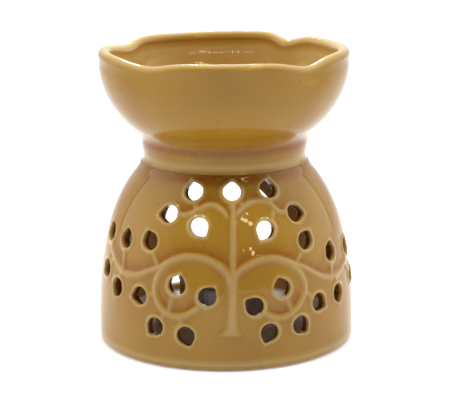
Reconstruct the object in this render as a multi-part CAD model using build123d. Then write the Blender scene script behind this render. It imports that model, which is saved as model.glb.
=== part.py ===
from build123d import *
import os
from math import asin, atan2, cos, degrees, radians, sin, sqrt

# Essential oil burner: a pierced ceramic dome, a wavy-rimmed oil bowl on its crown, a tealight inside.
# Millimetres, +Z up, the origin under the middle of the foot. The ornament faces -Y, the mouth +Y.
# An azimuth is in degrees about Z, 0 at the front (-Y) and growing towards +X.

# Dome, outer shape
BELLY_RADIUS = 52.2
BELLY_HEIGHT = 11.0
LOWER_CURVE = 150.0
SHOULDER_DROP = 27.5
CROWN_SETBACK = 19.15
CROWN_HEIGHT = 73.5
FOOT_ROUND = 2.4

# Dome, walls and floor
DOME_WALL = 4.0
FLOOR_TOP = 5.2
FLOOR_CHAMFER = 2.0
FOOT_RING_WIDTH = 6.0
FOOT_RECESS = 1.2

# Candle mouth in the back wall
MOUTH_AZIMUTH = 180.0
MOUTH_WIDTH = 49.0
MOUTH_SILL = 8.0
MOUTH_LINTEL = 17.0
MOUTH_TOP_ROUND = 17.0
MOUTH_SILL_ROUND = 3.0

# Raised pad that the candle stands on, just higher than the sill
PAD_RADIUS = 27.5
PAD_ABOVE_SILL = 0.3
PAD_CHAMFER = 0.6

# Leaf-shaped vent holes
LEAF_BASE_RADIUS = 3.2
LEAF_TIP_RADIUS = 1.5
LEAF_LENGTH = 7.4

# Raised tree: trunk, twigs, scrolls and outer branches
RIDGE_WIDTH = 2.0
RIDGE_HEIGHT = 0.9
RELIEF_ROOT = 1.0
TRUNK_TOP = 64.5
TRUNK_FOOT = 15.0
TRUNK_TOP_WIDTH = 2.2
TRUNK_FOOT_WIDTH = 3.0
TRUNK_FLARE_HEIGHT = 2.5
TRUNK_FLARE_LEFT = 5.6
TRUNK_FLARE_RIGHT = 3.6
SCROLL_RADIUS = 13.2
SCROLL_OFFSET = 15.0
SCROLL_HEIGHT = 33.2
SCROLL_START_ANGLE = 2.0
SCROLL_SWEEP_ANGLE = 284.0
SIDE_PANEL_AZIMUTH = 52.0

# Twigs and outer branches: the points that each one passes, as an azimuth and a height
# in percent of the crown's height
RIGHT_TWIG = [(1, 80.3), (9, 86.4), (15.5, 87.8), (21.5, 86.4), (26, 82), (31, 81)]
LEFT_TWIG = [(-1, 80.3), (-5, 84.8), (-11, 86.7), (-20.5, 82.2), (-25, 81.2), (-30, 82.3)]
RIGHT_BRANCH = [(28.9, 58.2), (36, 51.4), (42, 46.6), (49, 43.5), (57, 43), (65, 45.6), (71, 49)]
LEFT_BRANCH = [(-28.9, 58.2), (-40, 50.6), (-46.5, 47.6), (-54, 46.8), (-60, 49.5), (-66, 54.4), (-71, 59.2)]

# Leaves: azimuth and height, in percent of the crown's height, of the hole, then of the twig or branch
# that the leaf points away from
CENTRE_LEAF = (1.5, 93.2, 0.5, 85.7)
RIGHT_LEAVES = [
    (24, 93.2, 21.5, 86.4), (36.5, 79.9, 30, 81.1), (17, 73.5, 23.5, 83),
    (38.5, 66, 30.5, 55.8), (54.5, 56.5, 52, 43.5), (74, 54.1, 70, 48.3),
    (76.5, 37, 67, 46.3), (57, 32.5, 55.5, 42.9), (42.5, 31.7, 34, 38.8),
    (22.5, 43.8, 27, 31.3), (9.5, 35.4, 14.5, 30.6), (31.5, 21.8, 26, 29.9),
    (16, 20.1, 19, 28.3),
]
LEFT_LEAVES = [
    (-21.5, 92.9, -17.5, 83.7), (-33.5, 81, -28.5, 81.9), (-15.5, 75.8, -20.5, 82.2),
    (-41, 66.9, -34.5, 55.2), (-57, 65, -55.5, 47.6), (-73.5, 65, -70, 58.5),
    (-72, 44.6, -64, 52.4), (-59.5, 37.6, -56.5, 47.3), (-44, 37, -35, 40.1),
    (-24.5, 46.1, -28.5, 31.7), (-10.5, 41.1, -15, 32.7), (-35, 21.9, -29, 30.6),
    (-20, 18.9, -22.5, 28.6),
]

# Oil bowl: a quarter-round flank on a collar, with a round lip that dips between four lobes
RIM_SETBACK = 1.9
RIM_RISE = 4.6
BOWL_CURVE = 35.0
BOWL_WALL = 4.5
BOWL_FLOOR_ANGLE = 12.0
LIP_SWELL = 0.15
DIP_DEPTH = 2.8
DIP_PINCH = 2.0
DIP_AZIMUTHS = [-42.0, 46.0, 143.0, 249.0]
FLANK_SECTIONS = 7
COLLAR_OVERHANG = 0.55
COLLAR_HEIGHT = 11.65
COLLAR_WALL = 4.0
COLLAR_CHAMFER = 0.6

# Tealight
CUP_RADIUS = 19.0
CUP_HEIGHT = 16.0
CUP_SHEET = 0.4
CUP_LIP = 0.5
WAX_DEPTH = 12.0
WAX_FIT = 0.05
TAB_RADIUS = 7.0
TAB_SHEET = 0.4
FERRULE_HEIGHT = 5.5
FERRULE_WALL = 0.6
WICK_RADIUS = 0.9
WICK_SHOW = 6.0

# Values that follow from the sizes above
CROWN_RADIUS = BELLY_RADIUS - CROWN_SETBACK
SHOULDER_HEIGHT = CROWN_HEIGHT - SHOULDER_DROP
MOUTH_TOP = CROWN_HEIGHT - MOUTH_LINTEL
PAD_TOP = MOUTH_SILL + PAD_ABOVE_SILL
COLLAR_RADIUS = CROWN_RADIUS + COLLAR_OVERHANG
COLLAR_TOP = CROWN_HEIGHT + COLLAR_HEIGHT
RIM_RADIUS = BELLY_RADIUS - RIM_SETBACK
BOWL_AXIS_OFFSET = RIM_RADIUS - BOWL_CURVE
BOWL_CENTRE_HEIGHT = COLLAR_TOP + sqrt(BOWL_CURVE**2 - (COLLAR_RADIUS - BOWL_AXIS_OFFSET) ** 2)
RIM_HEIGHT = BOWL_CENTRE_HEIGHT + RIM_RISE
LIP_RADIUS = BOWL_WALL / 2 + LIP_SWELL
LIP_LINE_RADIUS = RIM_RADIUS - BOWL_WALL / 2
LIP_LINE_HEIGHT = RIM_HEIGHT - LIP_RADIUS


def on_azimuth(azimuth, radius, height):
    """Point at an azimuth, a radius from the axis and a height."""
    turn = radians(azimuth)
    return Vector(radius * sin(turn), -radius * cos(turn), height)


def dome_curves(inset):
    """Arc radii, arc centres and shoulder height of the dome's outline, moved in by inset."""
    low_x = BELLY_RADIUS - LOWER_CURVE
    lean = asin((SHOULDER_HEIGHT - BELLY_HEIGHT) / LOWER_CURVE)
    across = low_x + LOWER_CURVE * cos(lean) - CROWN_RADIUS
    bulge = across * cos(lean) - SHOULDER_DROP * sin(lean)
    upper_curve = (across**2 + SHOULDER_DROP**2) / (2 * bulge)
    step = LOWER_CURVE - upper_curve
    low = (LOWER_CURVE - inset, low_x, BELLY_HEIGHT)
    high = (upper_curve - inset, low_x + step * cos(lean), BELLY_HEIGHT + step * sin(lean))
    return low, high, BELLY_HEIGHT + low[0] * sin(lean)


def dome_radius(height, inset=0.0):
    """Radius of the dome at a height, on the surface moved in by inset."""
    low, high, shoulder = dome_curves(inset)
    if height <= BELLY_HEIGHT:
        return BELLY_RADIUS - inset
    curve, centre_x, centre_z = low if height <= shoulder else high
    return centre_x + sqrt(curve**2 - (height - centre_z) ** 2)


def dome_lean(height):
    """Angle in degrees by which the dome's outward normal points above level."""
    low, high, shoulder = dome_curves(0.0)
    if height <= BELLY_HEIGHT:
        return 0.0
    curve, _, centre_z = low if height <= shoulder else high
    return degrees(asin((height - centre_z) / curve))


def dome_outline(inset, bottom, top):
    """Edges of the dome's outline in the XZ plane, from bottom up to top."""
    shoulder = dome_curves(inset)[2]

    def point(height):
        return (dome_radius(height, inset), 0, height)

    def arc(start, end):
        return ThreePointArc(point(start), point((start + end) / 2), point(end))

    return [
        Line(point(bottom), point(BELLY_HEIGHT)),
        arc(BELLY_HEIGHT, shoulder),
        arc(shoulder, top),
    ]


def dome_plug(inset, bottom, top):
    """Solid of revolution inside the dome's outline, between two heights."""
    outline = dome_outline(inset, bottom, top)
    axis_top = (0, 0, top)
    axis_bottom = (0, 0, bottom)
    edges = outline + [
        Line(outline[-1] @ 1, axis_top),
        Line(axis_top, axis_bottom),
        Line(axis_bottom, outline[0] @ 0),
    ]
    return revolve(make_face(edges), Axis.Z)


def relief_skin():
    """Thin layer on the dome in which the raised tree lies."""
    layer = dome_plug(-RIDGE_HEIGHT, FOOT_ROUND, CROWN_HEIGHT)
    return layer - dome_plug(RELIEF_ROOT, FOOT_ROUND, CROWN_HEIGHT)


def surface_plane(azimuth, height):
    """Plane that touches the dome at a place, with its normal outwards and its Y axis up."""
    lean = radians(dome_lean(height))
    turn = radians(azimuth)
    normal = Vector(cos(lean) * sin(turn), -cos(lean) * cos(turn), sin(lean))
    along = Vector(cos(turn), sin(turn), 0)
    return Plane(on_azimuth(azimuth, dome_radius(height), height), x_dir=along, z_dir=normal)


def panel_plane(azimuth):
    """Upright drawing plane in front of the dome, facing outwards at an azimuth."""
    turn = radians(azimuth)
    return Plane(
        on_azimuth(azimuth, BELLY_RADIUS + RIDGE_HEIGHT, 0),
        x_dir=Vector(cos(turn), sin(turn), 0),
        z_dir=Vector(sin(turn), -cos(turn), 0),
    )


def crown_percent(percent):
    """Height that is a percentage of the crown's height."""
    return CROWN_HEIGHT * percent / 100


def panel_point(azimuth, percent, panel):
    """Place of a point of the dome's surface on the drawing plane at the azimuth panel."""
    height = crown_percent(percent)
    return (dome_radius(height) * sin(radians(azimuth - panel)), height)


def leaf_drawing():
    """Leaf: a round base and a narrow tip towards +Y, joined by straight tangents."""
    base_y = LEAF_BASE_RADIUS - LEAF_LENGTH / 2
    tip_y = LEAF_LENGTH / 2 - LEAF_TIP_RADIUS
    slant = asin((LEAF_BASE_RADIUS - LEAF_TIP_RADIUS) / (tip_y - base_y))

    def tangent(side, radius, centre_y):
        return (side * radius * cos(slant), centre_y + radius * sin(slant))

    base_right = tangent(1, LEAF_BASE_RADIUS, base_y)
    base_left = tangent(-1, LEAF_BASE_RADIUS, base_y)
    tip_right = tangent(1, LEAF_TIP_RADIUS, tip_y)
    tip_left = tangent(-1, LEAF_TIP_RADIUS, tip_y)
    return make_face(
        [
            ThreePointArc(base_right, (0, -LEAF_LENGTH / 2), base_left),
            Line(base_left, tip_left),
            ThreePointArc(tip_left, (0, LEAF_LENGTH / 2), tip_right),
            Line(tip_right, base_right),
        ]
    )


def leaf_cutter(azimuth, percent, root_azimuth, root_percent):
    """Leaf-shaped hole through the dome's wall, square to it, pointing away from the stem's root."""
    plane = surface_plane(azimuth, crown_percent(percent))
    root_height = crown_percent(root_percent)
    root = plane.to_local_coords(on_azimuth(root_azimuth, dome_radius(root_height), root_height))
    leaf = Rot(0, 0, degrees(atan2(root.X, -root.Y))) * leaf_drawing()
    return plane * extrude(leaf, DOME_WALL + LEAF_LENGTH / 2, both=True)


def trunk_drawing():
    """Trunk that widens downwards and ends in a flared foot."""
    top = TRUNK_TOP_WIDTH / 2
    foot = TRUNK_FOOT_WIDTH / 2
    flare = TRUNK_FOOT + TRUNK_FLARE_HEIGHT
    return make_face(
        Polyline(
            (-top, TRUNK_TOP),
            (top, TRUNK_TOP),
            (foot, flare),
            (TRUNK_FLARE_RIGHT, TRUNK_FOOT),
            (-TRUNK_FLARE_LEFT, TRUNK_FOOT),
            (-foot, flare),
            close=True,
        )
    )


def branch_drawing(points, panel):
    """Band of the ridge's width along a smooth line through the points."""
    line = Spline(*[panel_point(azimuth, percent, panel) for azimuth, percent in points])
    return trace(line, RIDGE_WIDTH)


def scroll_drawing(side):
    """Band of the ridge's width along the open ring beside the trunk, on the side +1 or -1."""
    start = 180 - SCROLL_START_ANGLE if side > 0 else SCROLL_START_ANGLE
    centre = (side * SCROLL_OFFSET, SCROLL_HEIGHT)
    ring = CenterArc(centre, SCROLL_RADIUS, start, -side * SCROLL_SWEEP_ANGLE)
    return trace(ring, RIDGE_WIDTH)


def ridges():
    """Raised trunk, twigs, scrolls and outer branches, as separate solids on the dome."""
    drawings = [
        (0, trunk_drawing()),
        (0, branch_drawing(RIGHT_TWIG, 0)),
        (0, branch_drawing(LEFT_TWIG, 0)),
        (0, scroll_drawing(1)),
        (0, scroll_drawing(-1)),
        (SIDE_PANEL_AZIMUTH, branch_drawing(RIGHT_BRANCH, SIDE_PANEL_AZIMUTH)),
        (-SIDE_PANEL_AZIMUTH, branch_drawing(LEFT_BRANCH, -SIDE_PANEL_AZIMUTH)),
    ]
    skin = relief_skin()
    return [skin & extrude(panel_plane(panel) * drawing, -BELLY_RADIUS) for panel, drawing in drawings]


def mouth_cutter():
    """Arched mouth through the back wall."""
    middle = (MOUTH_TOP + MOUTH_SILL) / 2
    drawing = Pos(0, middle) * Rectangle(MOUTH_WIDTH, MOUTH_TOP - MOUTH_SILL)
    drawing = fillet(drawing.vertices().group_by(Axis.Y)[-1], MOUTH_TOP_ROUND)
    drawing = fillet(drawing.vertices().group_by(Axis.Y)[0], MOUTH_SILL_ROUND)
    return extrude(panel_plane(MOUTH_AZIMUTH) * drawing, -BELLY_RADIUS)


def dome_body():
    """Pierced dome with its floor, candle pad, foot ring, tree ornament and mouth."""
    shell = dome_plug(0, 0, CROWN_HEIGHT)
    shell = fillet(shell.edges().group_by(Axis.Z)[0], FOOT_ROUND)
    shell = shell.fuse(*ridges())
    cavity = dome_plug(DOME_WALL, FLOOR_TOP, CROWN_HEIGHT)
    cavity = chamfer(cavity.edges().group_by(Axis.Z)[0], FLOOR_CHAMFER)
    leaves = [CENTRE_LEAF] + RIGHT_LEAVES + LEFT_LEAVES
    shell = shell - cavity - mouth_cutter() - [leaf_cutter(*leaf) for leaf in leaves]
    pad_depth = PAD_TOP - FLOOR_TOP / 2
    pad = Pos(0, 0, FLOOR_TOP / 2) * Cylinder(
        PAD_RADIUS, pad_depth, align=(Align.CENTER, Align.CENTER, Align.MIN)
    )
    pad = chamfer(pad.edges().group_by(Axis.Z)[-1], PAD_CHAMFER)
    recess = Cylinder(
        BELLY_RADIUS - FOOT_ROUND - FOOT_RING_WIDTH,
        FOOT_RECESS,
        align=(Align.CENTER, Align.CENTER, Align.MIN),
    )
    return shell + pad - recess


def lobes():
    """Azimuths at which each lobe of the rim starts and ends."""
    ends = DIP_AZIMUTHS[1:] + [DIP_AZIMUTHS[0] + 360]
    return list(zip(DIP_AZIMUTHS, ends))


def lobed_arc(start, end, radius, pinch, height, drop):
    """Arc of one lobe, drawn in and lowered at its two dips."""
    return ThreePointArc(
        on_azimuth(start, radius - pinch, height - drop),
        on_azimuth((start + end) / 2, radius, height),
        on_azimuth(end, radius - pinch, height - drop),
    )


def flank_plug(inset, first_turn):
    """Solid inside the bowl's flank, moved in by inset: rings that grow from round to lobed."""
    curve = BOWL_CURVE - inset
    rings = []
    for index in range(FLANK_SECTIONS):
        turn = radians(first_turn + (90 - first_turn) * index / (FLANK_SECTIONS - 1))
        radius = BOWL_AXIS_OFFSET + curve * sin(turn)
        height = BOWL_CENTRE_HEIGHT - curve * cos(turn)
        pinch = DIP_PINCH * sin(turn) ** 8
        rings.append(make_face([lobed_arc(*lobe, radius, pinch, height, 0) for lobe in lobes()]))
    return loft(rings), rings[-1]


def rim_cutter(start, end):
    """Everything above the lip's middle plane, in the sector of one lobe."""
    arc = lobed_arc(start, end, LIP_LINE_RADIUS, DIP_PINCH, LIP_LINE_HEIGHT, DIP_DEPTH)
    dip_a, top, dip_b = arc @ 0, arc @ 0.5, arc @ 1
    tilt = (top - dip_a).cross(dip_b - top).normalized()
    normal = tilt if tilt.Z > 0 else -tilt
    far = 2 * RIM_RADIUS
    wedge = make_face(
        Polyline(
            (0, 0, 0),
            on_azimuth(start, far, 0),
            on_azimuth((start + end) / 2, far, 0),
            on_azimuth(end, far, 0),
            close=True,
        )
    )
    block = extrude(Plane(top, z_dir=normal) * Rectangle(4 * far, 4 * far), BOWL_CURVE)
    return block & extrude(wedge, 2 * RIM_HEIGHT, dir=(0, 0, 1))


def lip():
    """Round bead along the rim: one arc for each lobe, with a ball at each dip."""
    pieces = []
    for start, end in lobes():
        arc = lobed_arc(start, end, LIP_LINE_RADIUS, DIP_PINCH, LIP_LINE_HEIGHT, DIP_DEPTH)
        pieces.append(sweep(Plane(arc @ 0, z_dir=arc % 0) * Circle(LIP_RADIUS), path=arc))
        pieces.append(Pos(*(arc @ 0)) * Sphere(LIP_RADIUS))
    return pieces


def oil_bowl():
    """Wavy-rimmed bowl on its collar."""
    outer, outer_top = flank_plug(0, 0)
    inner, inner_top = flank_plug(BOWL_WALL, BOWL_FLOOR_ANGLE)
    outer = outer + extrude(outer_top, RIM_RISE, dir=(0, 0, 1))
    inner = inner + extrude(inner_top, RIM_RISE, dir=(0, 0, 1))
    wall = outer - inner - [rim_cutter(*lobe) for lobe in lobes()]
    wall = wall.fuse(*lip())
    collar_depth = COLLAR_HEIGHT + BOWL_WALL / 4
    collar = Pos(0, 0, CROWN_HEIGHT) * Cylinder(
        COLLAR_RADIUS, collar_depth, align=(Align.CENTER, Align.CENTER, Align.MIN)
    )
    collar = chamfer(collar.edges().group_by(Axis.Z)[0], COLLAR_CHAMFER)
    bore = Pos(0, 0, CROWN_HEIGHT) * Cylinder(
        COLLAR_RADIUS - COLLAR_WALL, collar_depth, align=(Align.CENTER, Align.CENTER, Align.MIN)
    )
    return wall + (collar - bore - inner)


def turned(points):
    """Solid of revolution from the corners of its half section, given as radius and height."""
    corners = [(radius, 0, PAD_TOP + height) for radius, height in points]
    return revolve(make_face(Polyline(*corners, close=True)), Axis.Z)


def tealight_cup():
    """Thin metal cup with a turned-out lip."""
    inside = CUP_RADIUS - CUP_SHEET
    return turned(
        [
            (0, 0),
            (CUP_RADIUS, 0),
            (CUP_RADIUS, CUP_HEIGHT - CUP_SHEET),
            (CUP_RADIUS + CUP_LIP, CUP_HEIGHT - CUP_SHEET),
            (CUP_RADIUS + CUP_LIP, CUP_HEIGHT),
            (inside, CUP_HEIGHT),
            (inside, CUP_SHEET),
            (0, CUP_SHEET),
        ]
    )


def wick_tab():
    """Sustainer: a tin disc on the cup's floor with a ferrule round the wick."""
    bore = WICK_RADIUS + WAX_FIT
    tube = bore + FERRULE_WALL
    base = CUP_SHEET
    return turned(
        [
            (bore, base),
            (TAB_RADIUS, base),
            (TAB_RADIUS, base + TAB_SHEET),
            (tube, base + TAB_SHEET),
            (tube, base + FERRULE_HEIGHT),
            (bore, base + FERRULE_HEIGHT),
        ]
    )


def tealight_wax():
    """Wax that fills the cup round the sustainer and the wick."""
    bore = WICK_RADIUS + WAX_FIT
    tube = bore + FERRULE_WALL + WAX_FIT
    tab_top = CUP_SHEET + TAB_SHEET + WAX_FIT
    outside = CUP_RADIUS - CUP_SHEET - WAX_FIT
    return turned(
        [
            (TAB_RADIUS + WAX_FIT, CUP_SHEET),
            (outside, CUP_SHEET),
            (outside, CUP_SHEET + WAX_DEPTH),
            (bore, CUP_SHEET + WAX_DEPTH),
            (bore, CUP_SHEET + FERRULE_HEIGHT + WAX_FIT),
            (tube, CUP_SHEET + FERRULE_HEIGHT + WAX_FIT),
            (tube, tab_top),
            (TAB_RADIUS + WAX_FIT, tab_top),
        ]
    )


def wick():
    """Wick that stands in the ferrule and shows above the wax."""
    length = WAX_DEPTH + WICK_SHOW
    return Pos(0, 0, PAD_TOP + CUP_SHEET) * Cylinder(
        WICK_RADIUS, length, align=(Align.CENTER, Align.CENTER, Align.MIN)
    )


PIECES = {
    "dome_body": dome_body,
    "oil_bowl": oil_bowl,
    "tealight_cup": tealight_cup,
    "tealight_wax": tealight_wax,
    "wick_tab": wick_tab,
    "wick": wick,
}

os.makedirs("parts", exist_ok=True)
for name, make in PIECES.items():
    export_step(make(), f"parts/{name}.step")
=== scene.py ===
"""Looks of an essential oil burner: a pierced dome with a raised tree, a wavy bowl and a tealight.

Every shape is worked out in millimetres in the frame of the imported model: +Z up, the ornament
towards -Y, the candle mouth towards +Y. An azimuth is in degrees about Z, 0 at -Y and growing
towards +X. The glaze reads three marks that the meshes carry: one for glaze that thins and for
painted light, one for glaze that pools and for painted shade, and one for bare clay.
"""

import logging
import math
from dataclasses import dataclass, field
from enum import Enum

import bmesh
import bpy
import numpy as np
from mathutils import Matrix, Vector
from mathutils.geometry import delaunay_2d_cdt


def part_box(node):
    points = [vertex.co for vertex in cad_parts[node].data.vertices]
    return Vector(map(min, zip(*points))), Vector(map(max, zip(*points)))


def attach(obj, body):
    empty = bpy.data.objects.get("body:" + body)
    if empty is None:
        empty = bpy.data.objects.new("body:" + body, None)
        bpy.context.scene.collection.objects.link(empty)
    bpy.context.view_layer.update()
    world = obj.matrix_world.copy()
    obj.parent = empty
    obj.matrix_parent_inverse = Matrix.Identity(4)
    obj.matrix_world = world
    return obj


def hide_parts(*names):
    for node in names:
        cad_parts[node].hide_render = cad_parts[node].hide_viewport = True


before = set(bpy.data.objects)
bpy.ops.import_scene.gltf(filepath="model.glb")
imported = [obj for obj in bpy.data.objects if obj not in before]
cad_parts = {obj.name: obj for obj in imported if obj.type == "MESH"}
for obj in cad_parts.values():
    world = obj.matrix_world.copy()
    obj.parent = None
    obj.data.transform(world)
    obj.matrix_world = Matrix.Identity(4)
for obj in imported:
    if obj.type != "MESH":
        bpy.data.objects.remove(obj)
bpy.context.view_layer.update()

LOG = logging.getLogger("oil_burner")
MM = 0.001
Array = np.ndarray
Socket = bpy.types.NodeSocket
Shade = tuple[float, float, float, float]
Span = tuple[float, float]
# Marks of the glaze: glaze that thins together with painted light, glaze that pools together with
# painted shade, and bare clay
GLAZE_MARKS = ("thin", "pool", "bare")


class Body(Enum):
    """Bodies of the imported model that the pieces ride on."""

    BURNER = "burner"
    TEALIGHT = "tealight"


class Slot(Enum):
    """Slots whose names the finishes take."""

    GLAZE = "honey_glaze"
    CUP = "cup_aluminium"
    WAX = "candle_wax"
    TAB = "tab_steel"
    WICK = "wick_cotton"


class Shine(Enum):
    """What a lamp does: light the surfaces, show in their gloss, or both."""

    FILL = "fill"
    GLINT = "glint"
    BOTH = "both"


# Small helpers for arrays


def node_box(node: str) -> tuple[Array, Array]:
    """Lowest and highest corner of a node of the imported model, in millimetres."""
    low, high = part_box(node)
    return np.array(low) / MM, np.array(high) / MM


def smooth(low: float, high: float, value: Array) -> Array:
    """Share from 0 at low to 1 at high along the curve 3t^2 - 2t^3."""
    share = np.clip((np.asarray(value, dtype=float) - low) / (high - low), 0.0, 1.0)
    return share * share * (3.0 - 2.0 * share)


def turned_degrees(azimuth: Array, centre: float) -> Array:
    """Difference of an azimuth from a centre, brought to the range -180 to 180."""
    return (np.asarray(azimuth, dtype=float) - centre + 180.0) % 360.0 - 180.0


def bell(distance: Array, width: Array) -> Array:
    """Soft bump: 1 at distance 0, falling as a squared cosine to 0 at the width."""
    share = np.clip(np.abs(distance) / width, 0.0, 1.0)
    return np.cos(share * math.pi / 2.0) ** 2


def quarter_turn(steps: int) -> Array:
    """Angles of a quarter turn in radians, both ends included."""
    return np.linspace(0.0, math.pi / 2, steps)


def between(first: Array, last: Array, steps: int) -> Array:
    """Points that part the straight line between two points evenly, the ends left out."""
    share = (np.arange(1, steps + 1) / (steps + 1))[:, None]
    return first + (last - first) * share


def pair(first: Array, second: Array) -> Array:
    """Two arrays as the columns of an array of points."""
    return np.stack([first, second], axis=-1)


def eased_line(points: Array, steps: int) -> Array:
    """Smooth line through points: a Catmull-Rom curve with the same number of steps in each span.

    Args:
        points: Array of shape (n, 2).
        steps: Steps in each span.

    Returns:
        Array of points along the curve, both ends included.
    """
    ends = np.vstack([2 * points[0] - points[1], points, 2 * points[-1] - points[-2]])
    before, start, end, after = ends[:-3, None], ends[1:-2, None], ends[2:-1, None], ends[3:, None]
    share = (np.arange(steps) / steps)[None, :, None]
    curve = 0.5 * (
        2 * start
        + (end - before) * share
        + (2 * before - 5 * start + 4 * end - after) * share**2
        + (3 * start - before - 3 * end + after) * share**3
    )
    return np.vstack([curve.reshape(-1, points.shape[1]), points[-1:]])


def on_azimuth(azimuth: Array, radius: Array, height: Array) -> Array:
    """Points round the axis.

    Args:
        azimuth: Azimuths in degrees.
        radius: Distances from the axis.
        height: Heights.

    Returns:
        Array of the shape that the three share, with a last axis of x, y and z.
    """
    turn = np.radians(azimuth)
    x, y, z = np.broadcast_arrays(radius * np.sin(turn), -radius * np.cos(turn), height)
    return np.stack([x, y, z], axis=-1)


def strip_faces(rows: int, columns: int) -> Array:
    """Quads of a grid of rows whose columns close on themselves.

    Args:
        rows: Number of rows.
        columns: Number of points in each row.

    Returns:
        Array of shape (n, 4) of point indices.
    """
    row, column = np.meshgrid(np.arange(rows - 1), np.arange(columns), indexing="ij")
    after = (column + 1) % columns
    low, high = row * columns, (row + 1) * columns
    quads = np.stack([low + column, low + after, high + after, high + column], axis=-1)
    return quads.reshape(-1, 4)


def linked(name: str, data: bpy.types.ID) -> bpy.types.Object:
    """A new object in the scene.

    Args:
        name: Its name.
        data: Its mesh, lamp or camera.

    Returns:
        The object, at the origin.
    """
    made = bpy.data.objects.new(name, data)
    bpy.context.scene.collection.objects.link(made)
    return made


@dataclass
class Shell:
    """Patches of one piece: points with their marks and faces, welded into a mesh."""

    marks: tuple[str, ...] = ()
    points: list[Array] = field(default_factory=list)
    values: list[Array] = field(default_factory=list)
    faces: list[Array] = field(default_factory=list)
    count: int = 0
    weld_digits: int = 5
    flat_edge: float = 1e-7

    def add(self, points: Array, faces: Array, **marks: Array) -> None:
        """Adds a patch.

        Args:
            points: Array of shape (n, 3), in millimetres.
            faces: Array of shape (m, 3) or (m, 4) of indices into points.
            marks: Value of each named mark at the points; a mark left out is 0.
        """
        flat = points.reshape(-1, 3)
        table = np.zeros((len(flat), len(self.marks)))
        for column, name in enumerate(self.marks):
            value = np.broadcast_to(marks.get(name, 0.0), points.shape[:-1])
            table[:, column] = value.reshape(-1)
        self.points.append(flat)
        self.values.append(table)
        self.faces.append(faces + self.count)
        self.count += len(flat)

    def add_rings(self, azimuths: Array, radius: Array, height: Array, **marks: Array) -> None:
        """Adds a surface of revolution whose section has the given radii and heights.

        Args:
            azimuths: Azimuths of the columns, which close on themselves.
            radius: Radius of each row.
            height: Height of each row, or one height for all.
            marks: Value of each named mark on each row.
        """
        radius = np.asarray(radius, dtype=float)
        height = np.broadcast_to(np.asarray(height, dtype=float), radius.shape)
        points = on_azimuth(azimuths[None, :], radius[:, None], height[:, None])
        spread = {
            name: np.broadcast_to(value, radius.shape)[:, None] for name, value in marks.items()
        }
        self.add(points, strip_faces(len(radius), len(azimuths)), **spread)

    def close(self, ring: Array, **marks: float) -> None:
        """Closes a level ring of points with a fan round the axis.

        Args:
            ring: Points of the ring, shape (n, 3).
            marks: Value of each named mark.
        """
        index = np.arange(len(ring))
        fan = np.stack([index, np.roll(index, -1), np.full_like(index, len(ring))], axis=-1)
        self.add(np.vstack([ring, [[0.0, 0.0, ring[0, 2]]]]), fan, **marks)

    def mesh_object(self, name: str) -> bpy.types.Object:
        """Welds the patches, turns the faces outwards and makes the object, in metres.

        Args:
            name: Name of the object.

        Returns:
            The new object, at the origin.
        """
        points = np.vstack(self.points)
        rounded = np.round(points, self.weld_digits)
        _, first, place = np.unique(rounded, axis=0, return_index=True, return_inverse=True)
        place = place.reshape(-1)
        faces: list[list[int]] = []
        for patch in self.faces:
            faces += place[patch].tolist()
        mesh = bpy.data.meshes.new(name)
        mesh.from_pydata((points[first] * MM).tolist(), [], faces)
        values = np.vstack(self.values)[first]
        for column, mark in enumerate(self.marks):
            layer = mesh.attributes.new(mark, "FLOAT", "POINT")
            layer.data.foreach_set("value", values[:, column].astype(np.float32))
        built = bmesh.new()
        built.from_mesh(mesh)
        bmesh.ops.dissolve_degenerate(built, dist=self.flat_edge, edges=built.edges)
        bmesh.ops.recalc_face_normals(built, faces=built.faces)
        built.to_mesh(mesh)
        built.free()
        mesh.polygons.foreach_set("use_smooth", np.ones(len(mesh.polygons), dtype=bool))
        mesh.update()
        return linked(name, mesh)


def seat(piece: bpy.types.Object, body: Body, material: bpy.types.Material,
         node: str) -> None:
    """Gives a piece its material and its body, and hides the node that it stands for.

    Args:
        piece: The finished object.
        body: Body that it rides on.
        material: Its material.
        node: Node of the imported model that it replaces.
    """
    piece.data.materials.append(material)
    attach(piece, body.value)
    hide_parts(node)
    LOG.info("%s: %d faces", piece.name, len(piece.data.polygons))


# Finishes


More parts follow.
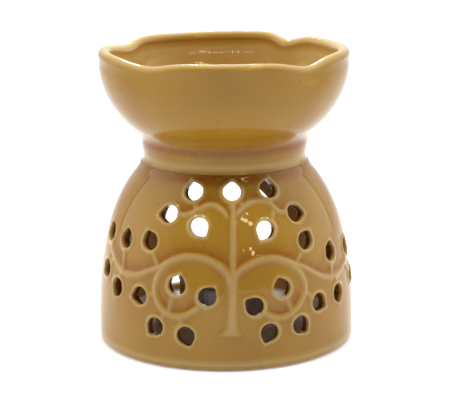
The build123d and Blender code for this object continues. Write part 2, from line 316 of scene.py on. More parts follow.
@dataclass
class NodeSheet:
    """A material's or the world's node tree, with short calls to add and join nodes."""

    tree: bpy.types.NodeTree

    def feed(self, node: bpy.types.Node, inputs: dict[str | int, object]) -> None:
        """Feeds a node's inputs.

        Args:
            node: The node.
            inputs: For each input another node's output, which is joined, or a plain value.
        """
        for key, value in inputs.items():
            if isinstance(value, Socket):
                self.tree.links.new(value, node.inputs[key])
            else:
                node.inputs[key].default_value = value

    def add(self, kind: str, inputs: dict[str | int, object], **settings: object) -> bpy.types.Node:
        """Adds a node.

        Args:
            kind: Kind of the node.
            inputs: What its inputs are fed with.
            settings: Its properties.

        Returns:
            The node.
        """
        node = self.tree.nodes.new(kind)
        for key, value in settings.items():
            setattr(node, key, value)
        self.feed(node, inputs)
        return node

    def math(self, operation: str, first: object, second: object = 0.0) -> Socket:
        """Result of a math node on two values or sockets."""
        return self.add("ShaderNodeMath", {0: first, 1: second}, operation=operation).outputs[0]

    def ramp(self, value: object, low: float, high: float) -> Socket:
        """Share that eases from 0 to 1 as the value goes from low to high."""
        inputs = {"Value": value, "From Min": low, "From Max": high}
        return self.add("ShaderNodeMapRange", inputs, interpolation_type="SMOOTHSTEP").outputs[0]

    def blend(self, share: object, first: object, second: object) -> Socket:
        """Colour that goes from the first to the second with the share."""
        inputs = {0: share, 6: first, 7: second}
        return self.add("ShaderNodeMix", inputs, data_type="RGBA").outputs[2]

    def mix(self, share: object, first: object, second: object) -> Socket:
        """Number that goes from the first to the second with the share."""
        inputs = {0: share, 2: first, 3: second}
        return self.add("ShaderNodeMix", inputs, data_type="FLOAT").outputs[0]

    def noise(self, place: Socket, scale: float, detail: float) -> Socket:
        """Cloudy noise at a place, from 0 to 1, with so many clouds in a metre."""
        inputs = {"Vector": place, "Scale": scale, "Detail": detail}
        return self.add("ShaderNodeTexNoise", inputs).outputs["Fac"]

    def bump(self, height: Socket, strength: float, depth: float) -> Socket:
        """Normal of a surface with a fine relief of a depth in metres."""
        inputs = {"Height": height, "Strength": strength, "Distance": depth}
        return self.add("ShaderNodeBump", inputs).outputs["Normal"]

    def mark(self, name: str) -> Socket:
        """Value of a mark stored on the mesh."""
        return self.add("ShaderNodeAttribute", {}, attribute_name=name).outputs["Fac"]

    def place(self) -> Socket:
        """Object coordinates."""
        return self.add("ShaderNodeTexCoord", {}).outputs["Object"]

    def seen(self, *rays: str) -> Socket:
        """1 for light paths of any of the named kinds and 0 for all others.

        Args:
            rays: Names of the light path node's outputs.

        Returns:
            The socket.
        """
        path = self.add("ShaderNodeLightPath", {})
        found = path.outputs[rays[0]]
        for ray in rays[1:]:
            found = self.math("MAXIMUM", found, path.outputs[ray])
        return found


def new_material(slot: Slot) -> tuple[bpy.types.Material, NodeSheet, bpy.types.Node]:
    """Starts a material.

    Args:
        slot: Slot that it is named for.

    Returns:
        The material, its node sheet and its shader.
    """
    material = bpy.data.materials.new(slot.value)
    material.use_nodes = True
    return material, NodeSheet(material.node_tree), material.node_tree.nodes["Principled BSDF"]


def colour(red: float, green: float, blue: float) -> Shade:
    """Shader colour from screen values.

    Args:
        red: Red from 0 to 255.
        green: Green from 0 to 255.
        blue: Blue from 0 to 255.

    Returns:
        Linear red, green and blue, and 1 for opaque.
    """
    screen = np.array([red, green, blue]) / 255.0
    linear = np.where(screen <= 0.04045, screen / 12.92, ((screen + 0.055) / 1.055) ** 2.4)
    return (*linear.tolist(), 1.0)


@dataclass(frozen=True)
class HoneyGlaze:
    """Runny honey glaze over pale clay: amber where thick, pale on edges, darker where it pools.

    The pale colour also paints light, and the two darker colours also paint shade.
    """

    honey: Shade = colour(172, 129, 41)
    amber: Shade = colour(165, 119, 38)
    # The next two colours serve glaze that pools and also painted shade, the third glaze that thins
    # and also painted light
    deep_and_shade: Shade = colour(152, 94, 22)
    pooled: Shade = colour(112, 65, 14)
    thin: Shade = colour(208, 181, 120)
    clay: Shade = colour(226, 219, 208)
    pit: Shade = colour(70, 42, 16)
    roughness: float = 0.04
    clay_roughness: float = 0.8
    refraction: float = 1.4
    cloud_scale: float = 38.0
    cloud_range: Span = (0.35, 0.7)
    streak_scale: float = 620.0
    streak_range: Span = (0.3, 0.75)
    streak_share: float = 0.35
    deep_and_shade_range: Span = (0.0, 0.55)
    pooled_range: Span = (0.45, 1.0)
    speck_scale: float = 1400.0
    speck_range: Span = (0.62, 0.8)
    speck_share: float = 0.12
    pit_scale: float = 160.0
    pit_range: Span = (0.03, 0.07)
    pit_share: float = 0.7
    rare_scale: float = 87.4
    rare_range: Span = (0.6, 0.68)
    peel_scale: float = 170.0
    peel_strength: float = 0.35
    peel_depth: float = 0.00012

    def material(self) -> bpy.types.Material:
        """The glaze as a material that reads its three marks.

        Clouds of honey and amber, darkened where the glaze pools and by painted shade and paled
        where it thins and by painted light, with fine specks and a few pits, give way to clay where
        there is no glaze.

        Returns:
            The material.
        """
        material, sheet, shader = new_material(Slot.GLAZE)
        place = sheet.place()
        cloud = sheet.ramp(sheet.noise(place, self.cloud_scale, 3.0), *self.cloud_range)
        base = sheet.blend(cloud, self.honey, self.amber)
        streak = sheet.ramp(sheet.noise(place, self.streak_scale, 3.0), *self.streak_range)
        streak = sheet.math("MULTIPLY", streak, self.streak_share)
        uneven = sheet.math("ADD", streak, 1.0 - self.streak_share)
        # Glaze that pools and painted shade darken the colour, glaze that thins and painted light
        # pale it
        pool = sheet.math("MULTIPLY", sheet.mark("pool"), uneven)
        base = sheet.blend(sheet.ramp(pool, *self.deep_and_shade_range), base, self.deep_and_shade)
        base = sheet.blend(sheet.ramp(pool, *self.pooled_range), base, self.pooled)
        base = sheet.blend(sheet.mark("thin"), base, self.thin)
        speck = sheet.ramp(sheet.noise(place, self.speck_scale, 1.0), *self.speck_range)
        base = sheet.blend(sheet.math("MULTIPLY", speck, self.speck_share), base, self.pit)
        cells = sheet.add("ShaderNodeTexVoronoi", {"Vector": place, "Scale": self.pit_scale})
        pits = sheet.ramp(cells.outputs["Distance"], *self.pit_range)
        rare = sheet.ramp(sheet.noise(place, self.rare_scale, 1.0), *self.rare_range)
        pits = sheet.math("MULTIPLY", sheet.math("SUBTRACT", 1.0, pits), rare)
        base = sheet.blend(sheet.math("MULTIPLY", pits, self.pit_share), base, self.pit)
        bare = sheet.mark("bare")
        rough = {"Value": bare, "To Min": self.roughness, "To Max": self.clay_roughness}
        peel = sheet.math("SUBTRACT", sheet.noise(place, self.peel_scale, 1.0), pits)
        sheet.feed(shader, {
            "Base Color": sheet.blend(bare, base, self.clay),
            "Roughness": sheet.add("ShaderNodeMapRange", rough).outputs["Result"],
            "IOR": self.refraction,
            "Normal": sheet.bump(peel, self.peel_strength, self.peel_depth),
        })
        return material


@dataclass(frozen=True)
class CupAluminium:
    """Thin drawn aluminium sheet with faint drawing lines round it."""

    bright: Shade = colour(216, 216, 219)
    dull: Shade = colour(186, 187, 190)
    roughness: float = 0.45
    line_scale: float = 900.0
    line_stretch: tuple[float, float, float] = (0.04, 0.04, 1.0)
    line_strength: float = 0.2
    line_depth: float = 0.0001

    def material(self) -> bpy.types.Material:
        """The sheet as a material with level lines: noise that is stretched round the cup.

        Returns:
            The material.
        """
        material, sheet, shader = new_material(Slot.CUP)
        stretched = {"Vector": sheet.place(), "Scale": self.line_stretch}
        place = sheet.add("ShaderNodeMapping", stretched).outputs["Vector"]
        lines = sheet.noise(place, self.line_scale, 2.0)
        sheet.feed(shader, {
            "Base Color": sheet.blend(lines, self.bright, self.dull),
            "Metallic": 1.0,
            "Roughness": self.roughness,
            "Normal": sheet.bump(lines, self.line_strength, self.line_depth),
        })
        return material


@dataclass(frozen=True)
class CandleWax:
    """Pressed white wax with a soft grain."""

    pale: Shade = colour(240, 236, 226)
    shade: Shade = colour(228, 222, 208)
    roughness: float = 0.45
    glow_share: float = 0.3
    glow_reach: tuple[float, float, float] = (0.004, 0.003, 0.002)
    grain_scale: float = 420.0
    grain_strength: float = 0.25
    grain_depth: float = 0.0002

    def material(self) -> bpy.types.Material:
        """The wax as a faintly translucent material.

        Returns:
            The material.
        """
        material, sheet, shader = new_material(Slot.WAX)
        grain = sheet.noise(sheet.place(), self.grain_scale, 4.0)
        sheet.feed(shader, {
            "Base Color": sheet.blend(grain, self.pale, self.shade),
            "Roughness": self.roughness,
            "Subsurface Weight": self.glow_share,
            "Subsurface Radius": self.glow_reach,
            "Normal": sheet.bump(grain, self.grain_strength, self.grain_depth),
        })
        return material


@dataclass(frozen=True)
class TinnedSteel:
    """Tinned sheet of the wick's sustainer."""

    light: Shade = colour(190, 190, 188)
    dark: Shade = colour(150, 150, 148)
    roughness: float = 0.38
    cloud_scale: float = 500.0

    def material(self) -> bpy.types.Material:
        """The sheet as a mottled metal.

        Returns:
            The material.
        """
        material, sheet, shader = new_material(Slot.TAB)
        mottle = sheet.noise(sheet.place(), self.cloud_scale, 3.0)
        sheet.feed(shader, {
            "Base Color": sheet.blend(mottle, self.light, self.dark),
            "Metallic": 1.0,
            "Roughness": self.roughness,
        })
        return material


@dataclass(frozen=True)
class WickCotton:
    """Waxed cotton braid."""

    yarn: Shade = colour(232, 226, 210)
    # Colour of the painted shade in the braid's hollows
    hollow: Shade = colour(176, 166, 144)
    roughness: float = 0.85
    sheen: float = 0.2
    fibre_scale: float = 2600.0
    fibre_share: float = 0.6
    plain_share: float = 0.5

    def material(self) -> bpy.types.Material:
        """The braid, with painted shade in its hollows, and uneven along its fibres.

        Returns:
            The material.
        """
        material, sheet, shader = new_material(Slot.WICK)
        fibre = sheet.noise(sheet.place(), self.fibre_scale, 2.0)
        fibre = sheet.math("ADD", sheet.math("MULTIPLY", fibre, self.fibre_share), self.plain_share)
        shade = sheet.math("MULTIPLY", sheet.mark("hollow"), fibre)
        sheet.feed(shader, {
            "Base Color": sheet.blend(shade, self.yarn, self.hollow),
            "Roughness": self.roughness,
            "Sheen Weight": self.sheen,
        })
        return material


# Dome


@dataclass
class DomeOutline:
    """Wall of the dome: straight at the foot, then a slack arc and a tighter one up to the crown.

    A place on it is an azimuth, a run (the length up the outer wall from the table) and a depth
    behind it.
    """

    belly_radius: float
    crown_height: float
    belly_height: float = 11.0
    lower_curve: float = 150.0
    shoulder_drop: float = 27.5
    crown_setback: float = 19.15
    table_steps: int = 2000
    table_reach: float = 92.0

    def __post_init__(self) -> None:
        """Works out where the arcs meet, the upper one's radius and the table for looking back."""
        shoulder = self.crown_height - self.shoulder_drop
        self.shoulder_lean = math.asin((shoulder - self.belly_height) / self.lower_curve)
        lean_sin, lean_cos = math.sin(self.shoulder_lean), math.cos(self.shoulder_lean)
        across = self.crown_setback - self.lower_curve * (1 - lean_cos)
        bulge = across * lean_cos - self.shoulder_drop * lean_sin
        self.upper_curve = (across**2 + self.shoulder_drop**2) / (2 * bulge)
        self.table_run = np.linspace(0.0, self.table_reach, self.table_steps)
        self.crown_run = float(self.run_at(self.crown_height))

    def section(self, run: Array) -> tuple[Array, Array, Array]:
        """Radius, height and lean of the outer wall.

        Up to the belly's height the wall is upright. After that the lean grows by
        run / lower_curve up to the shoulder and by run / upper_curve above it, and radius and
        height are the arcs' cosines and sines.

        Args:
            run: Runs, any shape.

        Returns:
            Radius, height and lean in radians, all of that shape.
        """
        run = np.asarray(run, dtype=float)
        lower_run = self.lower_curve * self.shoulder_lean
        low = np.clip(run - self.belly_height, 0.0, lower_run) / self.lower_curve
        lean = low + np.clip(run - self.belly_height - lower_run, 0.0, None) / self.upper_curve
        rise = self.lower_curve * np.sin(low) + self.upper_curve * (np.sin(lean) - np.sin(low))
        setback = self.lower_curve * (1 - np.cos(low))
        setback = setback + self.upper_curve * (np.cos(low) - np.cos(lean))
        return self.belly_radius - setback, np.minimum(run, self.belly_height) + rise, lean

    def run_at(self, height: Array, depth: float = 0.0) -> Array:
        """Run at which the wall, a depth behind its outer face, has a height."""
        _, level, lean = self.section(self.table_run)
        return np.interp(height, level - depth * np.sin(lean), self.table_run)

    def points(self, azimuth: Array, run: Array, depth: Array) -> Array:
        """Points a depth behind the outer wall, along its normal."""
        radius, height, lean = self.section(run)
        return on_azimuth(azimuth, radius - depth * np.cos(lean), height - depth * np.sin(lean))


@dataclass
class LeafHoles:
    """Leaf-shaped vents: a round base and a narrow tip that points away from the stem's root."""

    wall: DomeOutline
    base_radius: float = 3.5
    tip_radius: float = 1.5
    length: float = 7.8
    base_steps: int = 26
    tip_steps: int = 10
    side_steps: int = 3

    # Azimuth and height of each leaf's middle and of its stem's root, heights in % of the crown's
    PLACES = (
        (1.5, 93.2, 0.5, 85.7),
        (24, 93.2, 21.5, 86.4), (36.5, 79.9, 30, 81.1), (17, 73.5, 23.5, 83),
        (38.5, 66, 30.5, 55.8), (54.5, 56.5, 52, 43.5), (74, 54.1, 70, 48.3),
        (76.5, 37, 67, 46.3), (57, 32.5, 55.5, 42.9), (42.5, 31.7, 34, 38.8),
        (22.5, 43.8, 26.6, 30), (9.5, 35.4, 14.3, 31), (31.5, 21.8, 26, 29.9),
        (16, 20.1, 19, 28.3),
        (-21.5, 92.9, -17.5, 83.7), (-33.5, 81, -28.5, 81.9), (-15.5, 75.8, -20.5, 82.2),
        (-41, 66.9, -34.5, 55.2), (-57, 65, -55.5, 47.6), (-73.5, 65, -70, 58.5),
        (-72, 44.6, -64, 52.4), (-59.5, 37.6, -56.5, 47.3), (-44, 37, -35, 40.1),
        (-24.5, 46.1, -28.2, 30.7), (-10.5, 41.1, -15, 33.7), (-35, 21.9, -29, 30.6),
        (-20, 18.9, -22.5, 28.6),
    )

    def __post_init__(self) -> None:
        """Works out each leaf's middle, root and direction."""
        table = np.array(self.PLACES)
        height = self.wall.crown_height / 100.0
        self.azimuth, self.root_azimuth = table[:, 0], table[:, 2]
        self.run = self.wall.run_at(table[:, 1] * height)
        self.root_run = self.wall.run_at(table[:, 3] * height)
        aside = np.radians(self.azimuth - self.root_azimuth) * self.wall.section(self.run)[0]
        away = pair(aside, self.run - self.root_run)
        self.away = away / np.linalg.norm(away, axis=1, keepdims=True)
        self.base_at = self.base_radius - self.length / 2
        self.tip_at = self.length / 2 - self.tip_radius
        step_in = self.base_radius - self.tip_radius
        self.slant = math.asin(step_in / (self.tip_at - self.base_at))

    def distance(self, azimuth: Array, run: Array, climb: Array | float = 0.0) -> Array:
        """Distance of places from each leaf's edge, below 0 inside the hole.

        Beside the leaf it is the distance from the straight tangent, past its ends that from the
        end circles.

        Args:
            azimuth: Azimuths, shape (n,).
            run: Runs, shape (n,).
            climb: How far each leaf has moved up the wall.

        Returns:
            Array of shape (n, number of leaves).
        """
        radius = self.wall.section(run)[0]
        u = np.radians(azimuth[:, None] - self.azimuth) * radius[:, None]
        v = run[:, None] - self.run - climb
        along = u * self.away[:, 0] + v * self.away[:, 1] - self.base_at
        across = np.abs(u * self.away[:, 1] - v * self.away[:, 0])
        span = self.tip_at - self.base_at
        tilt_sin, tilt_cos = math.sin(self.slant), math.cos(self.slant)
        level = along * tilt_cos - across * tilt_sin
        side = across * tilt_cos + along * tilt_sin - self.base_radius
        base = np.hypot(across, along) - self.base_radius
        tip = np.hypot(across, along - span) - self.tip_radius
        return np.where(level < 0, base, np.where(level > tilt_cos * span, tip, side))

    def loop(self, offset: float) -> tuple[Array, Array]:
        """Places round every leaf: two arcs, of the base and the tip, and the tangents between.

        Args:
            offset: Distance outside the leaf's edge.

        Returns:
            Azimuths and runs, both of shape (number of leaves, points of a loop).
        """
        base_turn = np.linspace(self.slant, -math.pi - self.slant, self.base_steps)
        tip_turn = np.linspace(math.pi - self.slant, self.slant, self.tip_steps)
        base = (self.base_radius + offset) * pair(np.cos(base_turn), np.sin(base_turn))
        tip = (self.tip_radius + offset) * pair(np.cos(tip_turn), np.sin(tip_turn))
        base[:, 1] += self.base_at
        tip[:, 1] += self.tip_at
        left = between(base[-1], tip[0], self.side_steps)
        right = between(tip[-1], base[0], self.side_steps)
        across, along = np.vstack([base, left, tip, right]).T
        u = along * self.away[:, :1] + across * self.away[:, 1:]
        v = along * self.away[:, 1:] - across * self.away[:, :1]
        run = self.run[:, None] + v
        return self.azimuth[:, None] + np.degrees(u / self.wall.section(run)[0]), run


@dataclass
class TreeRelief:
    """Raised tree on the dome: trunk, twigs, scrolls, outer branches, stems and leaf pads."""

    wall: DomeOutline
    leaves: LeafHoles
    pads: LeafHoles
    height: float = 0.84
    ridge_taper: float = 0.06
    ridge_ends: float = 0.35
    stem_height: float = 0.64
    stem_half_width: float = 1.7
    pad_height: float = 0.5
    pad_edge: float = 0.75
    join_power: int = 4
    trunk_foot: float = 15.0
    trunk_top: float = 64.5
    trunk_top_width: float = 1.2
    trunk_foot_width: float = 1.95
    trunk_crown: float = 0.8
    foot_edge: Span = (0.9, 0.5)
    top_edge: float = 1.0
    flare_height: float = 4.6
    flare_fall: float = 2.2
    flare_left: float = 4.7
    flare_right: float = 3.0
    trunk_lean: float = 0.028
    lean_from: float = 25.0
    collar_bead: float = 0.75
    bead_reach: float = 4.5
    bead_curve: float = 1.5
    ridge_thin: float = 0.42
    pad_thin: float = 0.55
    thin_curve: float = 1.5
    thin_clears: float = 1.6
    ridge_pool: float = 0.6
    pool_reach: float = 3.4
    pool_rise: Span = (0.2, 1.8)
    pool_start: Span = (0.6, 1.6)
    trunk_pool: float = 0.35
    trunk_pool_reach: float = 2.0
    trunk_pool_run: Span = (8.0, 20.0)
    # Painted shade below the bowl's collar, strongest at the front, also standing for glaze that
    # pools there
    collar_pool: float = 0.9
    collar_pool_back: float = 0.4
    collar_pool_front: int = 4
    collar_pool_run: Span = (7.0, 1.5)
    spline_steps: int = 7

    # Two twigs, two outer branches and two scrolls: azimuths, and heights in % of the crown's
    HALF_WIDTHS = (1.6, 1.6, 1.9, 1.9, 2.1, 2.1)
    RIDGES = (
        ((1, 80.3), (9, 86.4), (15.5, 87.8), (21.5, 86.4), (26, 82), (31, 81)),
        ((-1, 80.3), (-5, 84.8), (-11, 86.7), (-20.5, 82.2), (-25, 81.2), (-30, 82.3)),
        ((26, 57), (31, 54.3), (36, 51.2), (42, 46.6), (49, 43.5), (57, 43), (65, 45.6), (71, 49)),
        ((-27, 58.5), (-33, 54.5), (-40, 50.5), (-46.5, 47.6), (-54, 46.8), (-60, 49.5),
         (-66, 54.4), (-71, 59.2)),
        ((0.6, 45), (1, 50), (2.4, 53.5), (7.3, 57.2), (13.5, 59.5), (20.3, 59.2), (27.2, 55.7),
         (32.4, 49.9), (34.2, 43), (32.9, 37.3), (28.8, 31.6), (23.4, 28.2), (17.7, 28.7),
         (13.9, 31.6), (11.8, 33.6)),
        ((-0.6, 45), (-1.1, 51), (-3, 54.4), (-7.3, 58.3), (-13.3, 61), (-20.9, 61), (-27.7, 58),
         (-32.4, 52.8), (-34.9, 46.3), (-34.7, 39.3), (-31.7, 33.2), (-26.4, 29.7), (-20.9, 30.1),
         (-15.9, 33.5), (-13, 37)),
    )

    def line(self, points: tuple[Span, ...]) -> Array:
        """Middle line of a ridge as azimuth and run, smooth through its points."""
        azimuth, share = eased_line(np.array(points, dtype=float), self.spline_steps).T
        return pair(azimuth, self.wall.run_at(share * self.wall.crown_height / 100.0))

    def trunk(self, azimuth: Array, run: Array) -> tuple[Array, Array]:
        """Relief of the trunk.

        It is a rounded band that leans a little, whose half-width grows downwards and opens like
        a trumpet at the foot, wider on the left than on the right.

        Args:
            azimuth: Azimuths, shape (n,).
            run: Runs, shape (n,).

        Returns:
            Height of the trunk, and the distance of the places beside it.
        """
        radius, level, _ = self.wall.section(run)
        aside = np.radians(azimuth) * radius - self.trunk_lean * (level - self.lean_from)
        share = smooth(self.trunk_top, self.trunk_foot, level)
        half = self.trunk_top_width + (self.trunk_foot_width - self.trunk_top_width) * share
        rise = np.clip(level - self.trunk_foot, 0.0, None)
        flare = np.exp(-rise / self.flare_height * self.flare_fall)
        half = half + flare * np.where(aside < 0, self.flare_left, self.flare_right)
        across = np.clip(np.abs(aside) / half, 0.0, 1.0)
        below, above = self.foot_edge
        ends = smooth(self.trunk_foot - below, self.trunk_foot + above, level)
        ends = ends * smooth(self.trunk_top + self.top_edge, self.trunk_top - self.top_edge, level)
        return self.height * ends * (1 - across**2) ** self.trunk_crown, np.abs(aside) - half

    def nearest(self, azimuth: Array, run: Array, starts: Array,
                ends: Array) -> tuple[Array, Array, Array]:
        """How places lie to the nearest of some straight spans.

        Args:
            azimuth: Azimuths of the places, shape (n,).
            run: Runs of the places, shape (n,).
            starts: Azimuth and run of each span's start, shape (m, 2).
            ends: Azimuth and run of each span's end, shape (m, 2).

        Returns:
            Distance from it, how far up the wall from it, and the share of all spans before it.
        """
        radius = self.wall.section(run)[0][:, None]
        dx = np.radians(azimuth[:, None] - starts[:, 0]) * radius
        dy = run[:, None] - starts[:, 1]
        span_x = np.radians(ends[:, 0] - starts[:, 0]) * radius
        span_y = ends[:, 1] - starts[:, 1]
        share = np.clip((dx * span_x + dy * span_y) / (span_x**2 + span_y**2), 0.0, 1.0)
        away_x, away_y = dx - share * span_x, dy - share * span_y
        square = away_x**2 + away_y**2
        pick = np.argmin(square, axis=1)
        index = np.arange(len(run))
        before = (pick + share[index, pick]) / len(starts)
        return np.sqrt(square[index, pick]), away_y[index, pick], before

    def shape(self, azimuth: Array, run: Array) -> tuple[Array, Array, Array]:
        """Height of the relief and the glaze's marks at places of the wall.

        Each ridge is a bell across its line, the leaf pads are low flats round the holes, and the
        heights join as the fourth root of the sum of their fourth powers. Glaze thins on what is
        raised and pools uphill of it, and painted shade darkens the wall below the bowl's collar,
        most at the front, where it also stands for glaze that pools.

        Args:
            azimuth: Azimuths, any shape.
            run: Runs, the same shape.

        Returns:
            Height in millimetres, mark thin and mark pool, all of the same shape.
        """
        shape = azimuth.shape
        azimuth, run = azimuth.reshape(-1), run.reshape(-1)
        trunk, beside = self.trunk(azimuth, run)
        total = trunk**self.join_power
        pool = np.zeros_like(run)
        for points, half_width in zip(self.RIDGES, self.HALF_WIDTHS):
            line = self.line(points)
            gap, above, before = self.nearest(azimuth, run, line[:-1], line[1:])
            full = smooth(0.0, self.ridge_taper, np.minimum(before, 1 - before))
            full = self.ridge_ends + (1.0 - self.ridge_ends) * full
            total += (self.height * full * bell(gap, half_width)) ** self.join_power
            fall = np.exp(-np.clip(gap - half_width, 0, None) / self.pool_reach)
            uphill = smooth(*self.pool_rise, above) * fall
            pool = np.maximum(pool, uphill * smooth(*self.pool_start, gap))
        roots = pair(self.leaves.root_azimuth, self.leaves.root_run)
        tips = pair(self.leaves.azimuth, self.leaves.run)
        gap, _, _ = self.nearest(azimuth, run, roots, tips)
        total += (self.stem_height * bell(gap, self.stem_half_width)) ** self.join_power
        pad = self.pads.distance(azimuth, run).min(axis=1)
        pad = smooth(self.pad_edge, -self.pad_edge, pad)
        total += (self.pad_height * pad) ** self.join_power
        height = total ** (1 / self.join_power)
        raised = np.clip(height / self.height, 0.0, 1.0) ** self.thin_curve
        thin = np.maximum(self.ridge_thin * raised, self.pad_thin * pad)
        near_trunk = np.exp(-np.clip(beside, 0.0, None) / self.trunk_pool_reach)
        near_trunk = self.trunk_pool * near_trunk * smooth(*self.trunk_pool_run, run)
        # Painted shade below the bowl's collar, most at the front, also standing for glaze that
        # pools there
        crown = self.wall.crown_run
        low, high = self.collar_pool_run
        front = np.cos(np.radians(azimuth)) ** self.collar_pool_front
        collar = smooth(crown - low, crown - high, run)
        collar = collar * (self.collar_pool_back + (1.0 - self.collar_pool_back) * front)
        pool = self.ridge_pool * np.maximum(pool, near_trunk)
        pool = pool * (1 - np.clip(self.thin_clears * thin, 0.0, 1.0))
        pool = np.maximum(pool, self.collar_pool * collar)
        bead = smooth(crown - self.bead_reach, crown, run) ** self.bead_curve
        height = height + self.collar_bead * bead
        return height.reshape(shape), thin.reshape(shape), pool.reshape(shape)


@dataclass
class CandleMouth:
    """Arched mouth in the back wall: a level sill, upright sides and a round head."""

    wall: DomeOutline
    azimuth: float = -180.0
    width: float = 49.0
    sill: float = 8.0
    lintel: float = 17.0
    head_round: float = 22.0
    sill_round: float = 3.0
    head_steps: int = 14
    corner_steps: int = 6
    side_steps: int = 9
    sill_steps: int = 16

    def panel_loop(self, offset: float) -> Array:
        """Points round the mouth on the upright drawing plane.

        Half of it is a rounded heel, an upright side and a quarter-round head; the other half is
        its mirror image, and level lines join them.

        Args:
            offset: Distance outside the mouth's edge.

        Returns:
            Array of shape (n, 2).
        """
        half = self.width / 2 + offset
        low, high = self.sill - offset, self.wall.crown_height - self.lintel + offset
        head, foot = self.head_round + offset, self.sill_round + offset
        quarter = quarter_turn(self.head_steps)
        corner = quarter_turn(self.corner_steps)
        arch_z = high - head + head * np.sin(quarter)
        heel_z = low + foot - foot * np.cos(corner)
        arch = pair(half - head + head * np.cos(quarter), arch_z)
        heel = pair(half - foot + foot * np.sin(corner), heel_z)
        right = np.vstack([heel, between(heel[-1], arch[0], self.side_steps), arch])
        left = right[::-1] * [-1.0, 1.0]
        top = between(right[-1], left[0], self.sill_steps)
        bottom = between(left[-1], right[0], self.sill_steps)
        return np.vstack([right, top, left, bottom])

    def loop(self, offset: float, depth: float) -> tuple[Array, Array]:
        """Places of the points round the mouth.

        Args:
            offset: Distance outside the mouth's edge.
            depth: Depth behind the outer wall.

        Returns:
            Azimuths and runs.
        """
        x, z = self.panel_loop(offset).T
        run = self.wall.run_at(z, depth)
        radius, _, lean = self.wall.section(run)
        return self.azimuth + np.degrees(np.arcsin(x / (radius - depth * np.cos(lean)))), run

    def distance(self, azimuth: Array, run: Array, depth: float) -> Array:
        """Distance of places from the mouth's edge on the drawing plane, as from a rounded box.

        Args:
            azimuth: Azimuths of the places.
            run: Runs of the places.
            depth: Depth behind the outer wall.

        Returns:
            Distances, below 0 inside the mouth.
        """
        radius, height, lean = self.wall.section(run)
        turn = np.radians(turned_degrees(azimuth, self.azimuth))
        x = np.abs((radius - depth * np.cos(lean)) * np.sin(turn))
        high = self.wall.crown_height - self.lintel
        level = height - depth * np.sin(lean) - (high + self.sill) / 2
        rounding = np.where(level > 0, self.head_round, self.sill_round)
        out_x = x - self.width / 2 + rounding
        out_z = np.abs(level) - (high - self.sill) / 2 + rounding
        outside = np.hypot(np.maximum(out_x, 0), np.maximum(out_z, 0))
        gap = outside + np.minimum(np.maximum(out_x, out_z), 0) - rounding
        return np.where(np.cos(turn) > 0, gap, self.width)


# Distance between the rows of a triangular grid, in steps
ROW_PITCH = 0.87


def hex_grid(low: Span, high: Span, step: float) -> Array:
    """Points of a triangular grid inside a rectangle, clear of its edges by about half a step.

    Args:
        low: Lower left corner.
        high: Upper right corner.
        step: Distance between points of a row.

    Returns:
        Array of shape (n, 2).
    """
    rows = max(int((high[1] - low[1]) / (step * ROW_PITCH)), 1)
    columns = max(int((high[0] - low[0]) / step), 1)
    y = low[1] + (np.arange(rows) + 0.5) * (high[1] - low[1]) / rows
    x = low[0] + (np.arange(columns) + 0.25) * (high[0] - low[0]) / columns
    grid_x, grid_y = np.meshgrid(x, y)
    grid_x[1::2] += 0.5 * (high[0] - low[0]) / columns
    return pair(grid_x.reshape(-1), grid_y.reshape(-1))


def filled_between(points: Array, loops: list[Array]) -> Array:
    """Triangles over flat points, with the closed loops left open as holes.

    Args:
        points: Array of shape (n, 2).
        loops: Indices of the points round each hole.

    Returns:
        Array of shape (m, 3) of point indices.
    """
    label = np.zeros(len(points), dtype=int)
    for number, loop in enumerate(loops, start=1):
        label[loop] = number
    edges = np.vstack([pair(loop, np.roll(loop, -1)) for loop in loops])
    found = delaunay_2d_cdt(points.tolist(), edges.tolist(), [], 0, 1e-7)
    if len(found[0]) != len(points):
        raise ValueError("two points of a wall sheet lie on each other")
    faces = np.array(found[2])
    corner = label[faces]
    same = (corner[:, 0] == corner[:, 1]) & (corner[:, 0] == corner[:, 2])
    return faces[~(same & (corner[:, 0] > 0))]


